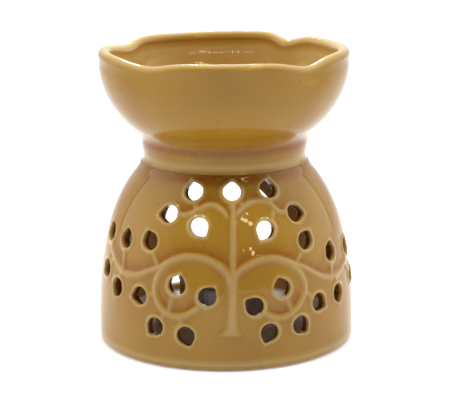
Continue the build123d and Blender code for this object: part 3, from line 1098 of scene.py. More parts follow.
@dataclass
class Dome:
    """Pierced dome with its floor, candle pad, foot ring, tree and mouth."""

    wall: DomeOutline
    leaves: LeafHoles
    tree: TreeRelief
    mouth: CandleMouth
    shell: Shell = field(default_factory=lambda: Shell(marks=GLAZE_MARKS))
    thickness: float = 4.0
    inner_pool: float = 0.35
    top_pool: float = 0.5
    foot_round: float = 2.4
    foot_thin: float = 0.5
    foot_thin_reach: float = 3.0
    foot_bare: Span = (0.86, 1.0)
    relief_start: float = 2.0
    floor_top: float = 5.2
    floor_round: float = 1.0
    foot_ring: float = 6.0
    foot_recess: float = 1.2
    recess_round: float = 0.5
    pad_radius: float = 27.5
    pad_top: float = 8.3
    pad_round: float = 0.7
    # Bare clay on the floor and pad inside, whose pale colour also paints a reflection of the light
    # coming in through the mouth
    floor_bare_and_lit: float = 0.95
    leaf_edge: float = 0.5
    leaf_inner_edge: float = 0.45
    leaf_taper: float = 0.7
    leaf_fade: Span = (1.4, 0.2)
    # Depths over which painted shade darkens the walls of the leaf holes
    leaf_pool: Span = (0.4, 1.6)
    level_cut: float = 0.7
    mouth_edge: float = 1.5
    mouth_inner_edge: float = 0.8
    mouth_thin: float = 0.8
    mouth_inner_thin: float = 0.6
    seam: float = 100.0
    front: float = 84.0
    front_columns: int = 223
    back_columns: int = 80
    fine_step: float = 0.64
    coarse_step: float = 2.5
    round_steps: int = 7
    cut_steps: int = 5
    leaf_clear: float = 3.0
    ring_clear: float = 0.5
    mouth_clear: float = 3.6

    # Rows of points round each hole: in steps of the sheet for leaves, in mm for the mouth
    LEAF_ROWS = (0.0, 0.7, 1.5, 2.4)
    MOUTH_ROWS = (0.0, 1.1, 2.6)

    def __post_init__(self) -> None:
        """Azimuths that all rings and both sheets' edges share, and the curves of a rounding."""
        fine = np.linspace(-self.front, self.front, self.front_columns)
        behind = np.linspace(self.front, 360.0 - self.front, self.back_columns)[1:-1] - 360.0
        start = self.seam - 360.0
        turned = np.concatenate([behind[behind >= start], fine, behind[behind < start] + 360.0])
        self.azimuths = np.unique(np.append(turned, start))
        quarter = quarter_turn(self.round_steps)
        self.sine, self.cosine, self.crest = np.sin(quarter), np.cos(quarter), np.sin(2 * quarter)

    def flat(self, azimuth: Array, run: Array, depth: float) -> Array:
        """Wall places unrolled to a plane for triangulating, shape (n, 2)."""
        return pair(np.radians(azimuth) * (self.wall.belly_radius - depth), run)

    def border(self, low: float, high: float) -> tuple[Array, Array]:
        """Places on the four edges of an unrolled sheet.

        Args:
            low: Run of the lower edge.
            high: Run of the upper edge.

        Returns:
            Azimuths and runs.
        """
        around = np.append(self.azimuths, self.seam)
        up = np.linspace(low, high, int((high - low) / self.coarse_step))[1:-1]
        left, right = np.full_like(up, self.seam - 360.0), np.full_like(up, self.seam)
        bottom, top = np.full_like(around, low), np.full_like(around, high)
        azimuth = np.concatenate([around, around, left, right])
        return azimuth, np.concatenate([bottom, top, up, up])

    def sheet(self, depth: float, low: float, high: float, leaf_offset: float, mouth_offset: float,
              step: float) -> tuple[Array, Array, Array]:
        """Places and triangles of one face of the wall.

        Rows of points follow each hole's edge, a triangular grid fills the rest, and the whole is
        triangulated on the unrolled plane with the holes left open.

        Args:
            depth: Depth behind the outer face.
            low: Run of the lower edge.
            high: Run of the upper edge.
            leaf_offset: How far outside each leaf's edge the sheet starts.
            mouth_offset: The same for the mouth.
            step: Distance between points of the ornamented front.

        Returns:
            Azimuths, runs and triangles.
        """
        scale = math.radians(1.0) * (self.wall.belly_radius - depth)
        climb = self.lean_shift(depth)
        rings = [self.leaves.loop(leaf_offset + gap * step) for gap in self.LEAF_ROWS]
        rings = [(azimuth, run + climb[:, None]) for azimuth, run in rings]
        doors = [self.mouth.loop(mouth_offset + gap, depth) for gap in self.MOUTH_ROWS]
        edge = self.border(low, high)
        left, right = (self.seam - 360.0) * scale, self.seam * scale
        half = self.front * scale
        grid = np.vstack([
            hex_grid((-half, low), (half, high), step),
            hex_grid((left, low), (-half, high), self.coarse_step),
            hex_grid((half, low), (right, high), self.coarse_step),
        ])
        grid_azimuth, grid_run = grid[:, 0] / scale, grid[:, 1]
        gap = self.leaves.distance(grid_azimuth, grid_run, climb).min(axis=1)
        clear = gap > leaf_offset + self.leaf_clear * step
        gap = self.mouth.distance(grid_azimuth, grid_run, depth)
        clear &= gap > mouth_offset + self.mouth_clear
        around = rings[1:] + doors[1:]
        near_azimuth = np.concatenate([ring[0].reshape(-1) for ring in around])
        near_run = np.concatenate([ring[1].reshape(-1) for ring in around])
        within = (near_run > low + step / 2) & (near_run < high - step / 2)
        gap = self.leaves.distance(near_azimuth, near_run, climb).min(axis=1)
        within &= gap > leaf_offset + self.ring_clear * step
        first = rings[0][0].reshape(-1), rings[0][1].reshape(-1)
        azimuth = np.concatenate(
            [first[0], doors[0][0], edge[0], near_azimuth[within], grid_azimuth[clear]]
        )
        run = np.concatenate([first[1], doors[0][1], edge[1], near_run[within], grid_run[clear]])
        loops = list(np.arange(len(first[0])).reshape(rings[0][0].shape))
        loops.append(np.arange(len(doors[0][0])) + len(first[0]))
        return azimuth, run, filled_between(self.flat(azimuth, run, depth), loops)

    def lean_shift(self, depth: Array) -> Array:
        """How far up the wall each leaf's cut has moved at a depth, shape (depths, leaves).

        The leaves are pushed through nearly level, so where the wall leans the cut climbs along it.
        """
        lean = self.wall.section(self.leaves.run)[2]
        return self.level_cut * np.asarray(depth, dtype=float)[..., None] * np.tan(lean)

    def rounded_edges(self, outer: float, inner: float, cut: Array) -> tuple[Array, Array]:
        """Section of a hole's wall: a rounded edge, the cut and a rounded inner edge.

        Round the outer edge the offset falls as 1 - sine and the depth grows as 1 - cosine of a
        quarter turn, and round the inner edge the other way about.

        Args:
            outer: Radius of the outer edge.
            inner: Radius of the inner edge.
            cut: Depths of the rows between the edges.

        Returns:
            Offset outside the hole and depth of each row.
        """
        sine, cosine = self.sine, self.cosine
        offset = np.concatenate([outer * (1 - sine), np.zeros_like(cut), inner * (1 - cosine)])
        depth = [outer * (1 - cosine), cut, self.thickness - inner * (1 - sine)]
        return offset, np.concatenate(depth)

    def leaf_walls(self) -> None:
        """Adds the walls of the leaf holes, which widen inwards, climb where the wall leans and
        darken inwards with painted shade.
        """
        outer, inner = self.leaf_edge, self.leaf_inner_edge
        cut = np.linspace(outer, self.thickness - inner, self.cut_steps)[1:-1]
        offset, depth = self.rounded_edges(outer, inner, cut)
        lift = np.concatenate([self.cosine, np.zeros(len(cut) + len(self.cosine))])
        opened = offset + self.leaf_taper * np.clip(depth / self.thickness, 0.0, 1.0)
        loops = [self.leaves.loop(value) for value in opened]
        azimuth = np.stack([loop[0] for loop in loops])
        run = np.stack([loop[1] for loop in loops]) + self.lean_shift(depth)[..., None]
        height, thin, _ = self.tree.shape(azimuth[0], run[0])
        behind = depth[:, None, None] - lift[:, None, None] * height
        points = self.wall.points(azimuth, run, behind)
        fade = smooth(*self.leaf_fade, depth)[:, None]
        # Painted shade: the walls of the holes darken with depth
        pool = smooth(*self.leaf_pool, depth)[:, None]
        rows, leaves, size = azimuth.shape
        for leaf in range(leaves):
            faded = fade * thin[leaf]
            self.shell.add(points[:, leaf], strip_faces(rows, size), thin=faded, pool=pool)

    def mouth_wall(self) -> None:
        """Adds the wall of the candle mouth, rounded on both edges, level along Y."""
        offset, depth = self.rounded_edges(self.mouth_edge, self.mouth_inner_edge, np.zeros(0))
        loops = [self.mouth.loop(*pair) for pair in zip(offset, depth)]
        azimuth = np.stack([loop[0] for loop in loops])
        run = np.stack([loop[1] for loop in loops])
        thin = [self.crest * self.mouth_thin, self.crest * self.mouth_inner_thin]
        points = self.wall.points(azimuth, run, depth[:, None])
        faces = strip_faces(*azimuth.shape)
        self.shell.add(points, faces, thin=np.concatenate(thin)[:, None])

    def bare_rings(self, stretches: tuple[tuple[Array, Array], ...], bare: float) -> None:
        """Adds bare stretches one after another and closes the last one at the axis.

        Args:
            stretches: Radii and heights of each stretch, the last one level.
            bare: Mark bare of them all.
        """
        for radius, height in stretches:
            self.shell.add_rings(self.azimuths, radius, height, bare=bare)
        self.shell.close(on_azimuth(self.azimuths, radius[-1], height), bare=bare)

    def foot(self) -> None:
        """Adds the rounded foot, the bare ring that it stands on and the recess inside it."""
        sine, cosine = self.sine, self.cosine
        base = self.wall.belly_radius - self.foot_round
        inside = base - self.foot_ring
        self.shell.add_rings(
            self.azimuths, base + self.foot_round * cosine, self.foot_round * (1 - sine),
            thin=self.foot_thin * sine, bare=smooth(*self.foot_bare, sine),
        )
        self.bare_rings((
            (np.linspace(base, inside + self.recess_round, 4), 0.0),
            (inside + self.recess_round * (1 - sine), self.recess_round * (1 - cosine)),
            ([inside, inside], [self.recess_round, self.foot_recess]),
            (np.linspace(inside, inside / 3, 4), self.foot_recess),
        ), bare=1.0)

    def inside(self, wall_foot: float) -> None:
        """Adds the floor with its rounded edge and the candle pad.

        Args:
            wall_foot: Height at which the inner wall ends.
        """
        sine, cosine = self.sine, self.cosine
        edge = self.wall.belly_radius - self.thickness - self.floor_round
        # Bare clay floor, whose pale colour also paints a reflection of the light coming in through
        # the mouth
        self.shell.add_rings(
            self.azimuths, edge + self.floor_round * cosine, wall_foot - self.floor_round * sine,
            bare=self.floor_bare_and_lit * smooth(0.0, 1.0, sine), pool=self.inner_pool * cosine,
        )
        pad, pad_edge = self.pad_radius, self.pad_top - self.pad_round
        self.bare_rings((
            (np.linspace(edge, pad, 6), self.floor_top),
            ([pad, pad], [self.floor_top, pad_edge]),
            (pad - self.pad_round * (1 - cosine), self.pad_top - self.pad_round * (1 - sine)),
            (np.linspace(pad - self.pad_round, pad / 4, 5), self.pad_top),
        ), bare=self.floor_bare_and_lit)

    def top(self, outer_run: float, inner_run: float) -> None:
        """Adds the level top of the wall, which the bowl's collar stands on.

        Args:
            outer_run: Run at which the outer wall ends.
            inner_run: Run at which the inner wall ends.
        """
        bead = self.wall.points(0.0, outer_run, -self.tree.collar_bead)
        radius, _, lean = self.wall.section(inner_run)
        inner = radius - self.thickness * np.cos(lean)
        ring = np.linspace(self.wall.section(outer_run)[0], inner, 4)
        level = np.append(bead[2], np.full_like(ring, self.wall.crown_height))
        self.shell.add_rings(self.azimuths, np.append(-bead[1], ring), level, pool=self.top_pool)

    def build(self) -> bpy.types.Object:
        """Makes the whole dome as one closed mesh.

        Returns:
            The dome.
        """
        low, high = self.foot_round, self.wall.crown_run
        azimuth, run, faces = self.sheet(
            0.0, low, high, self.leaf_edge, self.mouth_edge, self.fine_step
        )
        height, thin, pool = self.tree.shape(azimuth, run)
        thin = np.maximum(thin, self.foot_thin * smooth(low + self.foot_thin_reach, low, run))
        height *= smooth(low, low + self.relief_start, run)
        self.shell.add(self.wall.points(azimuth, run, -height), faces, thin=thin, pool=pool)
        wall_foot = self.floor_top + self.floor_round
        inner_high = float(self.wall.run_at(self.wall.crown_height, self.thickness))
        azimuth, run, faces = self.sheet(
            self.thickness, wall_foot, inner_high, self.leaf_inner_edge + self.leaf_taper,
            self.mouth_inner_edge, self.coarse_step / 2,
        )
        points = self.wall.points(azimuth, run, self.thickness)
        self.shell.add(points, faces, pool=self.inner_pool)
        self.leaf_walls()
        self.mouth_wall()
        self.foot()
        self.inside(wall_foot)
        self.top(high, inner_high)
        return self.shell.mesh_object("glazed_dome")


# Oil bowl


@dataclass
class OilBowl:
    """Wavy-rimmed bowl on a waisted collar; its rolled lip dips in four places and sags in two."""

    rim_height: float
    rim_radius: float
    crown_height: float
    crown_radius: float
    curve: float = 35.0
    rise: float = 4.6
    wall: float = 4.5
    floor_angle: float = 12.0
    floor_dish: float = 0.35
    pole_radius: float = 2.0
    bore_radius: float = 29.6
    bore_height: float = 8.6
    flank_end: float = 86.0
    inner_start: float = 88.0
    lip_radius: float = 2.4
    lip_clear: float = 0.02
    lip_turn: Span = (-28.0, 208.0)
    dip_from: float = 99.0
    dip_curve: float = 1.5
    fold_from: float = 93.0
    fold_gain: float = 1.7
    under_pool: float = 0.4
    # Painted highlight and shade on the collar: a pale band low down, and a brown band of painted
    # shade below the bowl that also stands for glaze that pools there
    collar_thin: float = 0.45
    collar_light_band: Span = (2.6, 2.6)
    collar_pool: float = 0.6
    collar_shade_band: Span = (9.2, 4.2)
    # Painted shade on the lower flank, where it faces down near the collar
    flank_pool: float = 0.35
    flank_pool_height: Span = (93.0, 86.0)
    lip_thin: float = 0.8
    # Painted light inside the bowl: all of it paled a little, more towards the rim
    inner_thin: float = 0.18
    rim_thin: float = 0.26
    rim_thin_height: Span = (104.0, 116.0)
    heel_pool: float = 0.1
    heel_brown: Span = (91.0, 8.0)
    floor_pool: float = 0.05
    # Painted reflection of the bright sides inside the left and right lobes
    lobe_reflection: float = 0.5
    lobe_reflection_height: Span = (92.0, 106.0)
    columns: int = 360
    collar_steps: int = 5
    flank_steps: int = 40
    lip_steps: int = 30

    # Azimuth of each dip, its depth, how far it draws the lip in, and its spread on both sides
    DIPS = (
        (-41.0, 2.3, 1.5, 13.0, 9.0), (41.5, 3.1, 1.9, 11.0, 6.8), (141.5, 2.6, 1.7, 6.8, 6.0),
        (237.0, 2.3, 1.3, 6.5, 12.5), (110.0, 0.7, 0.3, 15.0, 14.0), (190.0, 0.5, 0.0, 22.0, 22.0),
    )
    # Radius of the collar and height above the crown
    COLLAR = (
        (33.59, 0.52), (33.3, 1.15), (33.08, 1.9), (33.0, 2.8), (33.1, 4.0), (33.4, 5.8),
        (33.65, 7.8), (33.75, 9.2), (33.95, 10.2), (34.45, 11.25), (35.28, 12.35), (36.4, 13.6),
    )

    def __post_init__(self) -> None:
        """Height and radius of the middle of the flank's arc."""
        self.centre_height = self.rim_height - self.rise
        self.centre_radius = self.rim_radius - self.curve

    def flank(self, inset: float, angles: Array) -> tuple[Array, Array]:
        """Points of the flank's arc.

        Args:
            inset: How far the arc is moved in.
            angles: Angles in degrees from its foot.

        Returns:
            Radii and heights.
        """
        turn = np.radians(angles)
        reach = self.curve - inset
        return (self.centre_radius + reach * np.sin(turn),
                self.centre_height - reach * np.cos(turn))

    def angle_at(self, radius: float) -> float:
        """Angle in degrees at which the flank's outer arc has a radius."""
        return math.degrees(math.asin((radius - self.centre_radius) / self.curve))

    def section(self) -> tuple[Array, Array, Array, Array]:
        """Section from the middle of the underside, by collar, flank and lip, to the inner floor.

        The underside, the flank and the inner wall are arcs about one middle, the collar is a
        smooth line through its points, and the lip is most of a circle.

        Returns:
            Radii, heights, mark thin and mark pool.
        """
        parts: list[list[Array]] = []

        def part(radius: Array, height: Array, thin: object = 0.0, pool: object = 0.0) -> None:
            """Notes one stretch of the section.

            Args:
                radius: Its radii.
                height: Its heights, or one for all.
                thin: Mark thin.
                pool: Mark pool.
            """
            radius = np.asarray(radius, dtype=float)
            row = [np.broadcast_to(value, radius.shape) for value in (height, thin, pool)]
            parts.append([radius, *row])

        pool = self.under_pool
        under = np.linspace(self.pole_radius, self.centre_radius, 4)
        part(under, self.centre_height - self.curve, pool=pool)
        bore_angle = self.angle_at(self.bore_radius)
        part(*self.flank(0.0, np.linspace(0.0, bore_angle, 8)[1:]), pool=pool)
        bore = np.linspace(self.crown_height + self.bore_height, self.crown_height, 4)
        part(np.full(4, self.bore_radius), bore, pool=pool)
        part([self.crown_radius], self.crown_height, pool=pool)
        radius, level = eased_line(np.array(self.COLLAR), self.collar_steps).T
        # Painted highlight low on the collar, and painted shade below the bowl, also standing for
        # glaze that pools there
        middle, reach = self.collar_light_band
        thin = self.collar_thin * bell(level - middle, reach)
        middle, reach = self.collar_shade_band
        pool = self.collar_pool * bell(level - middle, reach)
        part(radius, self.crown_height + level, thin=thin, pool=pool)
        start = self.angle_at(self.COLLAR[-1][0])
        angles = np.linspace(start, self.flank_end, self.flank_steps)[1:]
        radius, height = self.flank(0.0, angles)
        # Painted shade on the lower flank near the collar
        part(radius, height, pool=self.flank_pool * smooth(*self.flank_pool_height, height))
        lip_middle = self.rim_radius - self.wall / 2
        lip_level = self.rim_height - self.lip_radius - self.lip_clear
        turn = np.radians(np.linspace(*self.lip_turn, self.lip_steps))
        thin = self.lip_thin * np.clip(np.sin(turn), 0.0, 1.0) ** 2
        radius = lip_middle + self.lip_radius * np.cos(turn)
        part(radius, lip_level + self.lip_radius * np.sin(turn), thin=thin)
        angles = np.linspace(self.inner_start, self.floor_angle, self.flank_steps)[1:]
        radius, height = self.flank(self.wall, angles)
        # Painted light: the inside is paled, more towards the rim
        thin = self.inner_thin + self.rim_thin * smooth(*self.rim_thin_height, height)
        middle, reach = self.heel_brown
        part(radius, height, thin=thin, pool=self.heel_pool * bell(height - middle, reach))
        floor = np.linspace(radius[-1], self.pole_radius, 8)[1:]
        level = height[-1] - self.floor_dish * (1 - (floor / radius[-1]) ** 2)
        part(floor, level, thin=self.inner_thin, pool=self.floor_pool)
        return tuple(np.concatenate(column) for column in zip(*parts))

    def build(self) -> bpy.types.Object:
        """Makes the bowl as one closed grid round the axis with a fan at each middle.

        Every dip is a bell curve round the axis that lowers the rim and draws it in, more on the
        inside, where it makes a fold, and less with depth.

        Returns:
            The bowl.
        """
        radius, height, thin, pool = self.section()
        azimuths = np.arange(self.columns) * 360.0 / self.columns
        drop = np.zeros_like(azimuths)
        pinch = np.zeros_like(azimuths)
        for place, depth, draw, before, after in self.DIPS:
            turned = turned_degrees(azimuths, place)
            share = np.exp(-0.5 * (turned / np.where(turned < 0, before, after)) ** 2)
            drop += depth * share
            pinch += draw * share
        weight = smooth(self.dip_from, self.rim_height, height)
        inner = np.arange(len(radius)) > np.argmax(height)
        # Painted reflection: the inside of the left and right lobes is paled, more up the wall
        pale = np.where(inner, self.lobe_reflection * smooth(*self.lobe_reflection_height, height), 0.0)
        pale = pale[:, None] * np.sin(np.radians(azimuths)) ** 2
        outer_fold = weight**self.dip_curve
        inner_fold = self.fold_gain * smooth(self.fold_from, self.rim_height, height)
        fold = np.where(inner, inner_fold, outer_fold)
        crest = smooth(self.rim_height - 2 * self.lip_radius, self.rim_height, height)
        fold = fold * (1 - crest) + outer_fold * crest
        ring_radius = radius[:, None] - pinch * fold[:, None]
        ring_height = height[:, None] - drop * weight[:, None]
        points = on_azimuth(azimuths[None, :], ring_radius, ring_height)
        shell = Shell(marks=GLAZE_MARKS)
        faces = strip_faces(len(radius), self.columns)
        shell.add(points, faces, thin=thin[:, None] + pale, pool=pool[:, None])
        shell.close(on_azimuth(azimuths, radius[0], height[0]), pool=self.under_pool)
        floor = on_azimuth(azimuths, radius[-1], height[-1])
        shell.close(floor, thin=self.inner_thin, pool=self.floor_pool)
        return shell.mesh_object("glazed_oil_bowl")


# Tealight


@dataclass
class Tealight:
    """Aluminium cup, pressed wax and a braided wick, on the pad."""

    base: float
    cup_radius: float = 19.0
    cup_height: float = 16.0
    sheet: float = 0.4
    lip: float = 0.5
    lip_gap: float = 0.05
    lip_turn: Span = (-0.5, 0.75)
    lip_steps: int = 12
    foot_round: float = 1.2
    foot_steps: int = 7
    pole_radius: float = 1.0
    flutes: int = 60
    flute_depth: float = 0.09
    flute_end: float = 1.0
    wax_depth: float = 12.0
    wax_gap: float = 0.15
    wax_creep: float = 0.12
    creep_reach: float = 0.8
    wax_dish: float = 0.5
    dish_reach: float = 4.5
    wax_heel: float = 1.4
    heel_step: Span = (0.4, 0.9)
    tab_clear: float = 6.2
    fit: float = 0.05
    wick_radius: float = 0.9
    wick_show: float = 6.0
    wick_columns: int = 36
    wick_rows: int = 150
    strands: int = 3
    strand_pitch: float = 2.6
    strand_depth: float = 0.14
    wick_end: Span = (0.7, 0.72)
    wick_tip: float = 0.02
    cut_hollow: float = 0.3
    columns: int = 160

    def cup(self) -> bpy.types.Object:
        """Drawn cup: a rounded heel, faint flutes up the side, a rolled lip and the inside.

        The section is turned about the axis, and a cosine round it pulls the sides in as flutes.

        Returns:
            The cup.
        """
        azimuths = np.arange(self.columns * 2) * 180.0 / self.columns
        quarter = quarter_turn(self.foot_steps)
        roll = np.linspace(*np.array(self.lip_turn) * math.pi, self.lip_steps)
        curl = self.sheet / 2 + self.lip_gap
        lip_middle = self.cup_radius + self.lip - curl
        inside = self.cup_radius - self.sheet
        heel = self.foot_round
        radius = np.concatenate([
            np.linspace(self.pole_radius, self.cup_radius - heel, 6)[:-1],
            self.cup_radius - heel + heel * np.sin(quarter),
            np.full(8, self.cup_radius),
            lip_middle + curl * np.cos(roll),
            np.full(8, inside),
            inside - heel + heel * np.cos(quarter),
            np.linspace(inside - heel, self.pole_radius, 6)[1:],
        ])
        height = np.concatenate([
            np.zeros(5),
            heel * (1 - np.cos(quarter)),
            np.linspace(heel, self.cup_height - 2 * curl, 10)[1:-1],
            self.cup_height - curl + curl * np.sin(roll),
            np.linspace(self.cup_height - curl, self.sheet + heel, 10)[1:-1],
            self.sheet + heel * (1 - np.sin(quarter)),
            np.full(5, self.sheet),
        ])
        half = self.cup_height / 2
        side = bell(height - half, half - self.flute_end) * (radius > inside - heel)
        wave = self.flute_depth * (np.cos(np.radians(azimuths) * self.flutes) - 1.0)
        fluted = radius[:, None] + side[:, None] * wave
        points = on_azimuth(azimuths[None, :], fluted, self.base + height[:, None])
        shell = Shell()
        shell.add(points, strip_faces(len(radius), len(azimuths)))
        shell.close(on_azimuth(azimuths, radius[0], self.base))
        shell.close(on_azimuth(azimuths, radius[-1], self.base + self.sheet))
        return shell.mesh_object("tealight_cup_sheet")

    def wax(self) -> bpy.types.Object:
        """Pressed wax: it creeps up the cup's side and is dished round the wick.

        The top is level, plus an exponential at the side and less a bell curve in the middle.

        Returns:
            The wax.
        """
        azimuths = np.arange(self.columns) * 360.0 / self.columns
        reach = self.cup_radius - self.sheet - self.fit - self.wax_gap
        bore = self.wick_radius + self.fit
        level = self.sheet + self.wax_depth
        top = np.linspace(reach, bore, 26)
        creep = self.wax_creep * np.exp(-(reach - top) / self.creep_reach)
        dish = self.wax_dish * np.exp(-((top / self.dish_reach) ** 2))
        step_in, step_up = self.heel_step
        heel = self.wax_heel
        foot = [self.tab_clear, self.sheet + self.fit, step_up, heel + step_in]
        radius = np.concatenate([[bore, reach - heel, reach - step_in, reach], top])
        height = np.concatenate([foot, level - self.wax_creep + creep - dish])
        rows = np.append(np.arange(len(radius)), 0)
        shell = Shell()
        shell.add_rings(azimuths, radius[rows], self.base + height[rows])
        return shell.mesh_object("tealight_wax_block")

    def wick(self) -> bpy.types.Object:
        """Braided wick: lobes that twist round it both ways, with its end frayed to a dome.

        The radius follows the larger of two cosines that turn left and right as they climb.

        Returns:
            The wick.
        """
        azimuths = np.arange(self.wick_columns) * 360.0 / self.wick_columns
        length = self.wax_depth + self.wick_show
        level = np.linspace(0.0, length, self.wick_rows)
        around = np.radians(azimuths)[None, :] * self.strands
        climb = level[:, None] * self.strand_pitch
        strand = np.maximum(np.cos(around + climb), np.cos(around - climb))
        end, dome = self.wick_end
        cap = 1 - np.clip((level - length + end) / dome, 0, 1) ** 2
        cap = np.sqrt(np.clip(cap, self.wick_tip, 1))[:, None]
        lobes = (1.0 - self.strand_depth) + self.strand_depth * strand
        height = self.base + self.sheet + level[:, None]
        points = on_azimuth(azimuths[None, :], self.wick_radius * cap * lobes, height)
        shell = Shell(marks=("hollow",))
        # Painted shade between the strands, and a middling amount on the cut ends
        shell.add(points, strip_faces(*strand.shape), hollow=0.5 - 0.5 * strand)
        for row in (0, -1):
            shell.close(points[row], hollow=self.cut_hollow)
        return shell.mesh_object("tealight_wick_braid")


# Studio


@dataclass(frozen=True)
class LampRow:
    """A level row of small lamps along X, in metres.

    The spread is the angle in degrees into which each lamp shines, and the stretch is its height
    to its width.
    """

    y: float
    z: float
    length: float
    count: int
    radius: float
    glow: float
    shine: Shine
    spread: float = 180.0
    stretch: float = 1.0


@dataclass
class Studio:
    """White sweep, soft tent light, rows of small lamps and the camera, in metres."""

    floor_size: float = 6.0
    floor_white: Shade = (0.92, 0.92, 0.92, 1.0)
    floor_lift: float = 0.27
    front_light: float = 0.27
    front_top_share: float = 0.25
    front_top: Span = (0.3, 0.7)
    side_light: float = 2.1
    side_from: Span = (-0.75, 0.0)
    back_light: float = 1.1
    back_from: Span = (0.62, 0.66)
    roof_light: float = 1.7
    roof_rise: Span = (0.6, 0.85)
    roof_from: Span = (-0.45, 0.1)
    seam_light: float = 0.4
    seam_start: Span = (0.58, 0.61)
    seam_end: Span = (0.65, 0.62)
    level_floor: float = 0.001
    rows: tuple[LampRow, ...] = (
        LampRow(-0.13, 0.46, 0.42, 28, 0.0024, 600.0, Shine.BOTH),
        LampRow(0.33, 0.36, 0.42, 28, 0.0024, 500.0, Shine.FILL),
        LampRow(1.45, 1.08, 0.38, 14, 0.003, 380.0, Shine.GLINT, stretch=18.0),
        LampRow(-0.85, 0.245, 1.1, 13, 0.006, 0.06, Shine.GLINT, spread=6.0, stretch=3.0),
    )
    # Azimuth, rise in degrees and radius of each single lamp in front
    glints: tuple[tuple[float, float, float], ...] = (
        (16.5, 36.0, 0.013), (20.0, 34.5, 0.016), (24.0, 32.0, 0.016), (29.0, 30.5, 0.014),
        (23.0, 40.0, 0.012), (28.5, 43.0, 0.013), (20.5, 13.5, 0.012), (22.5, 10.5, 0.014),
        (14.0, 13.0, 0.006), (44.0, 69.0, 0.02),
    )
    lamp_target: tuple[float, float, float] = (0.0, 0.04, 0.108)
    glint_distance: float = 0.55
    glint_centre: float = 0.05
    glint_glow: float = 20.0
    glint_tint: tuple[float, float, float] = (1.0, 0.76, 0.42)
    camera_distance: float = 0.6731
    camera_height: float = 0.2169
    camera_azimuth: float = -2.73
    camera_pitch: float = 13.43
    camera_roll: float = -0.47
    camera_lens: float = 135.3
    camera_sensor: float = 36.0
    camera_clip: Span = (0.01, 20.0)

    def floor(self) -> None:
        """White floor that keeps the shadow and is lifted a little for what sees it directly."""
        half = self.floor_size / 2
        corners = [(-half, -half, 0.0), (half, -half, 0.0), (half, half, 0.0), (-half, half, 0.0)]
        mesh = bpy.data.meshes.new("sweep")
        mesh.from_pydata(corners, [], [(0, 1, 2, 3)])
        sweep = linked("sweep", mesh)
        material = bpy.data.materials.new("sweep_white")
        material.use_nodes = True
        material.node_tree.nodes.clear()
        sheet = NodeSheet(material.node_tree)
        seen = sheet.seen("Is Camera Ray", "Is Transmission Ray", "Is Glossy Ray")
        strength = sheet.math("MULTIPLY", seen, self.floor_lift)
        paper = sheet.add("ShaderNodeBsdfDiffuse", {"Color": self.floor_white}).outputs[0]
        lift = sheet.add("ShaderNodeEmission", {"Strength": strength}).outputs[0]
        both = sheet.add("ShaderNodeAddShader", {0: paper, 1: lift}).outputs[0]
        sheet.add("ShaderNodeOutputMaterial", {"Surface": both})
        mesh.materials.append(material)

    def tent(self) -> None:
        """Soft white tent: dim towards its open front, bright at the sides, the back and the roof.

        The strength depends on the direction alone: on how far it points back, on the level, from
        front to side to back, with a dim seam between the last two, and on its height for the roof.
        What sees the tent directly sees plain white.
        """
        world = bpy.data.worlds.new("tent")
        bpy.context.scene.world = world
        world.use_nodes = True
        world.node_tree.nodes.clear()
        sheet = NodeSheet(world.node_tree)
        direction = sheet.add("ShaderNodeTexCoord", {}).outputs["Generated"]
        apart = sheet.add("ShaderNodeSeparateXYZ", {0: direction})
        ahead, up = apart.outputs["Y"], apart.outputs["Z"]
        level = sheet.math("SQRT", sheet.math("SUBTRACT", 1.0, sheet.math("POWER", up, 2.0)))
        toward = sheet.math("DIVIDE", ahead, sheet.math("MAXIMUM", level, self.level_floor))
        high = sheet.math("MULTIPLY", sheet.ramp(up, *self.front_top), 1.0 - self.front_top_share)
        front = sheet.math("MULTIPLY", sheet.math("SUBTRACT", 1.0, high), self.front_light)
        wall = sheet.mix(sheet.ramp(toward, *self.side_from), front, self.side_light)
        back = sheet.ramp(toward, *self.back_from)
        back = sheet.math("MULTIPLY", back, self.back_light - self.side_light)
        seam_in, seam_out = sheet.ramp(toward, *self.seam_start), sheet.ramp(toward, *self.seam_end)
        seam = sheet.math("MULTIPLY", seam_in, seam_out)
        seam = sheet.math("MULTIPLY", seam, self.seam_light - self.side_light)
        wall = sheet.math("ADD", sheet.math("ADD", wall, back), seam)
        roof = sheet.ramp(ahead, *self.roof_from)
        roof = sheet.math("MULTIPLY", sheet.ramp(up, *self.roof_rise), roof)
        glow = sheet.mix(roof, wall, self.roof_light)
        strength = sheet.mix(sheet.seen("Is Camera Ray", "Is Transmission Ray"), glow, 1.0)
        light = sheet.add("ShaderNodeBackground", {"Strength": strength}).outputs[0]
        sheet.add("ShaderNodeOutputWorld", {"Surface": light})

    def lamp(self, name: str, place: Array, row: LampRow) -> bpy.types.AreaLight:
        """Adds a small lamp that looks into the bowl.

        Args:
            name: Name of the lamp.
            place: Its place in metres.
            row: Size, glow, shine and spread that it shares with its row.

        Returns:
            The lamp's data.
        """
        data = bpy.data.lights.new(name, "AREA")
        data.shape = "ELLIPSE"
        data.size = 2 * row.radius
        data.size_y = data.size * row.stretch
        data.energy = row.glow * math.pi * math.pi * row.radius**2 * row.stretch
        data.spread = math.radians(row.spread)
        holder = linked(name, data)
        away = Vector(place) - Vector(self.lamp_target)
        turn = away.to_track_quat("Z", "Y").to_matrix().to_4x4()
        holder.matrix_world = Matrix.Translation(place) @ turn
        holder.visible_camera = False
        holder.visible_diffuse = row.shine is not Shine.GLINT
        holder.visible_glossy = row.shine is not Shine.FILL
        return data

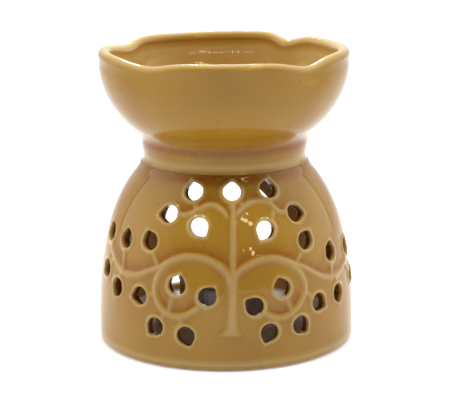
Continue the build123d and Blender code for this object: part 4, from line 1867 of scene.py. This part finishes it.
    def lamps(self) -> None:
        """Rows of small lamps on the tent and a loose group in front, which glint on the glaze."""
        for number, row in enumerate(self.rows):
            for place, x in enumerate(np.linspace(-0.5, 0.5, row.count) * row.length):
                self.lamp(f"strip_{number}_{place}", np.array([x, row.y, row.z]), row)
        for number, (azimuth, rise, radius) in enumerate(self.glints):
            out = self.glint_distance * math.cos(math.radians(rise))
            up = self.glint_centre + self.glint_distance * math.sin(math.radians(rise))
            place = on_azimuth(azimuth, out, up)
            single = LampRow(place[1], place[2], 0.0, 1, radius, self.glint_glow, Shine.GLINT)
            self.lamp(f"glint_{number}", place, single).color = self.glint_tint

    def camera(self) -> None:
        """Camera in front of the ornament, a little above, looking at the axis."""
        data = bpy.data.cameras.new("camera")
        data.lens = self.camera_lens
        data.sensor_width = self.camera_sensor
        data.clip_start, data.clip_end = self.camera_clip
        holder = linked("camera", data)
        out, turn = self.camera_distance, math.radians(self.camera_azimuth)
        place = Vector((out * math.sin(turn), -out * math.cos(turn), self.camera_height))
        pitch = Matrix.Rotation(math.radians(90.0 - self.camera_pitch), 4, "X")
        roll = Matrix.Rotation(math.radians(self.camera_roll), 4, "Z")
        aim = Matrix.Rotation(turn, 4, "Z") @ pitch @ roll
        holder.matrix_world = Matrix.Translation(place) @ aim
        bpy.context.scene.camera = holder

    def build(self) -> None:
        """Sets up the floor, the light, the camera and the plain view transform."""
        bpy.context.scene.view_settings.view_transform = "Standard"
        self.floor()
        self.tent()
        self.lamps()
        self.camera()


# How far the bowl's rim stands inside the dome's belly, in millimetres
RIM_SETBACK = 1.9


def main() -> None:
    logging.basicConfig(level=logging.INFO, format="%(name)s: %(message)s")
    glaze = HoneyGlaze().material()
    dome_low, dome_high = node_box("dome_body")
    bowl_low, bowl_high = node_box("oil_bowl")
    belly = float(min(-dome_low[0], dome_high[0], dome_high[1]))
    wall = DomeOutline(belly_radius=belly, crown_height=float(dome_high[2]))
    leaves = LeafHoles(wall)
    pads = LeafHoles(wall, base_radius=4.6, tip_radius=0.5, length=10.5)
    dome = Dome(wall, leaves, TreeRelief(wall, leaves, pads), CandleMouth(wall))
    seat(dome.build(), Body.BURNER, glaze, "dome_body")
    bowl = OilBowl(
        rim_height=float(bowl_high[2]),
        rim_radius=wall.belly_radius - RIM_SETBACK,
        crown_height=float(bowl_low[2]),
        crown_radius=float(wall.section(wall.crown_run)[0]),
    )
    seat(bowl.build(), Body.BURNER, glaze, "oil_bowl")
    tealight = Tealight(base=float(node_box("tealight_cup")[0][2]))
    seat(tealight.cup(), Body.TEALIGHT, CupAluminium().material(), "tealight_cup")
    seat(tealight.wax(), Body.TEALIGHT, CandleWax().material(), "tealight_wax")
    seat(tealight.wick(), Body.TEALIGHT, WickCotton().material(), "wick")
    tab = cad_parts["wick_tab"]
    tab.data.materials.clear()
    tab.data.materials.append(TinnedSteel().material())
    LOG.info("%s: packed solid with a new finish", tab.name)
    Studio().build()


if __name__ == "__main__":
    main()
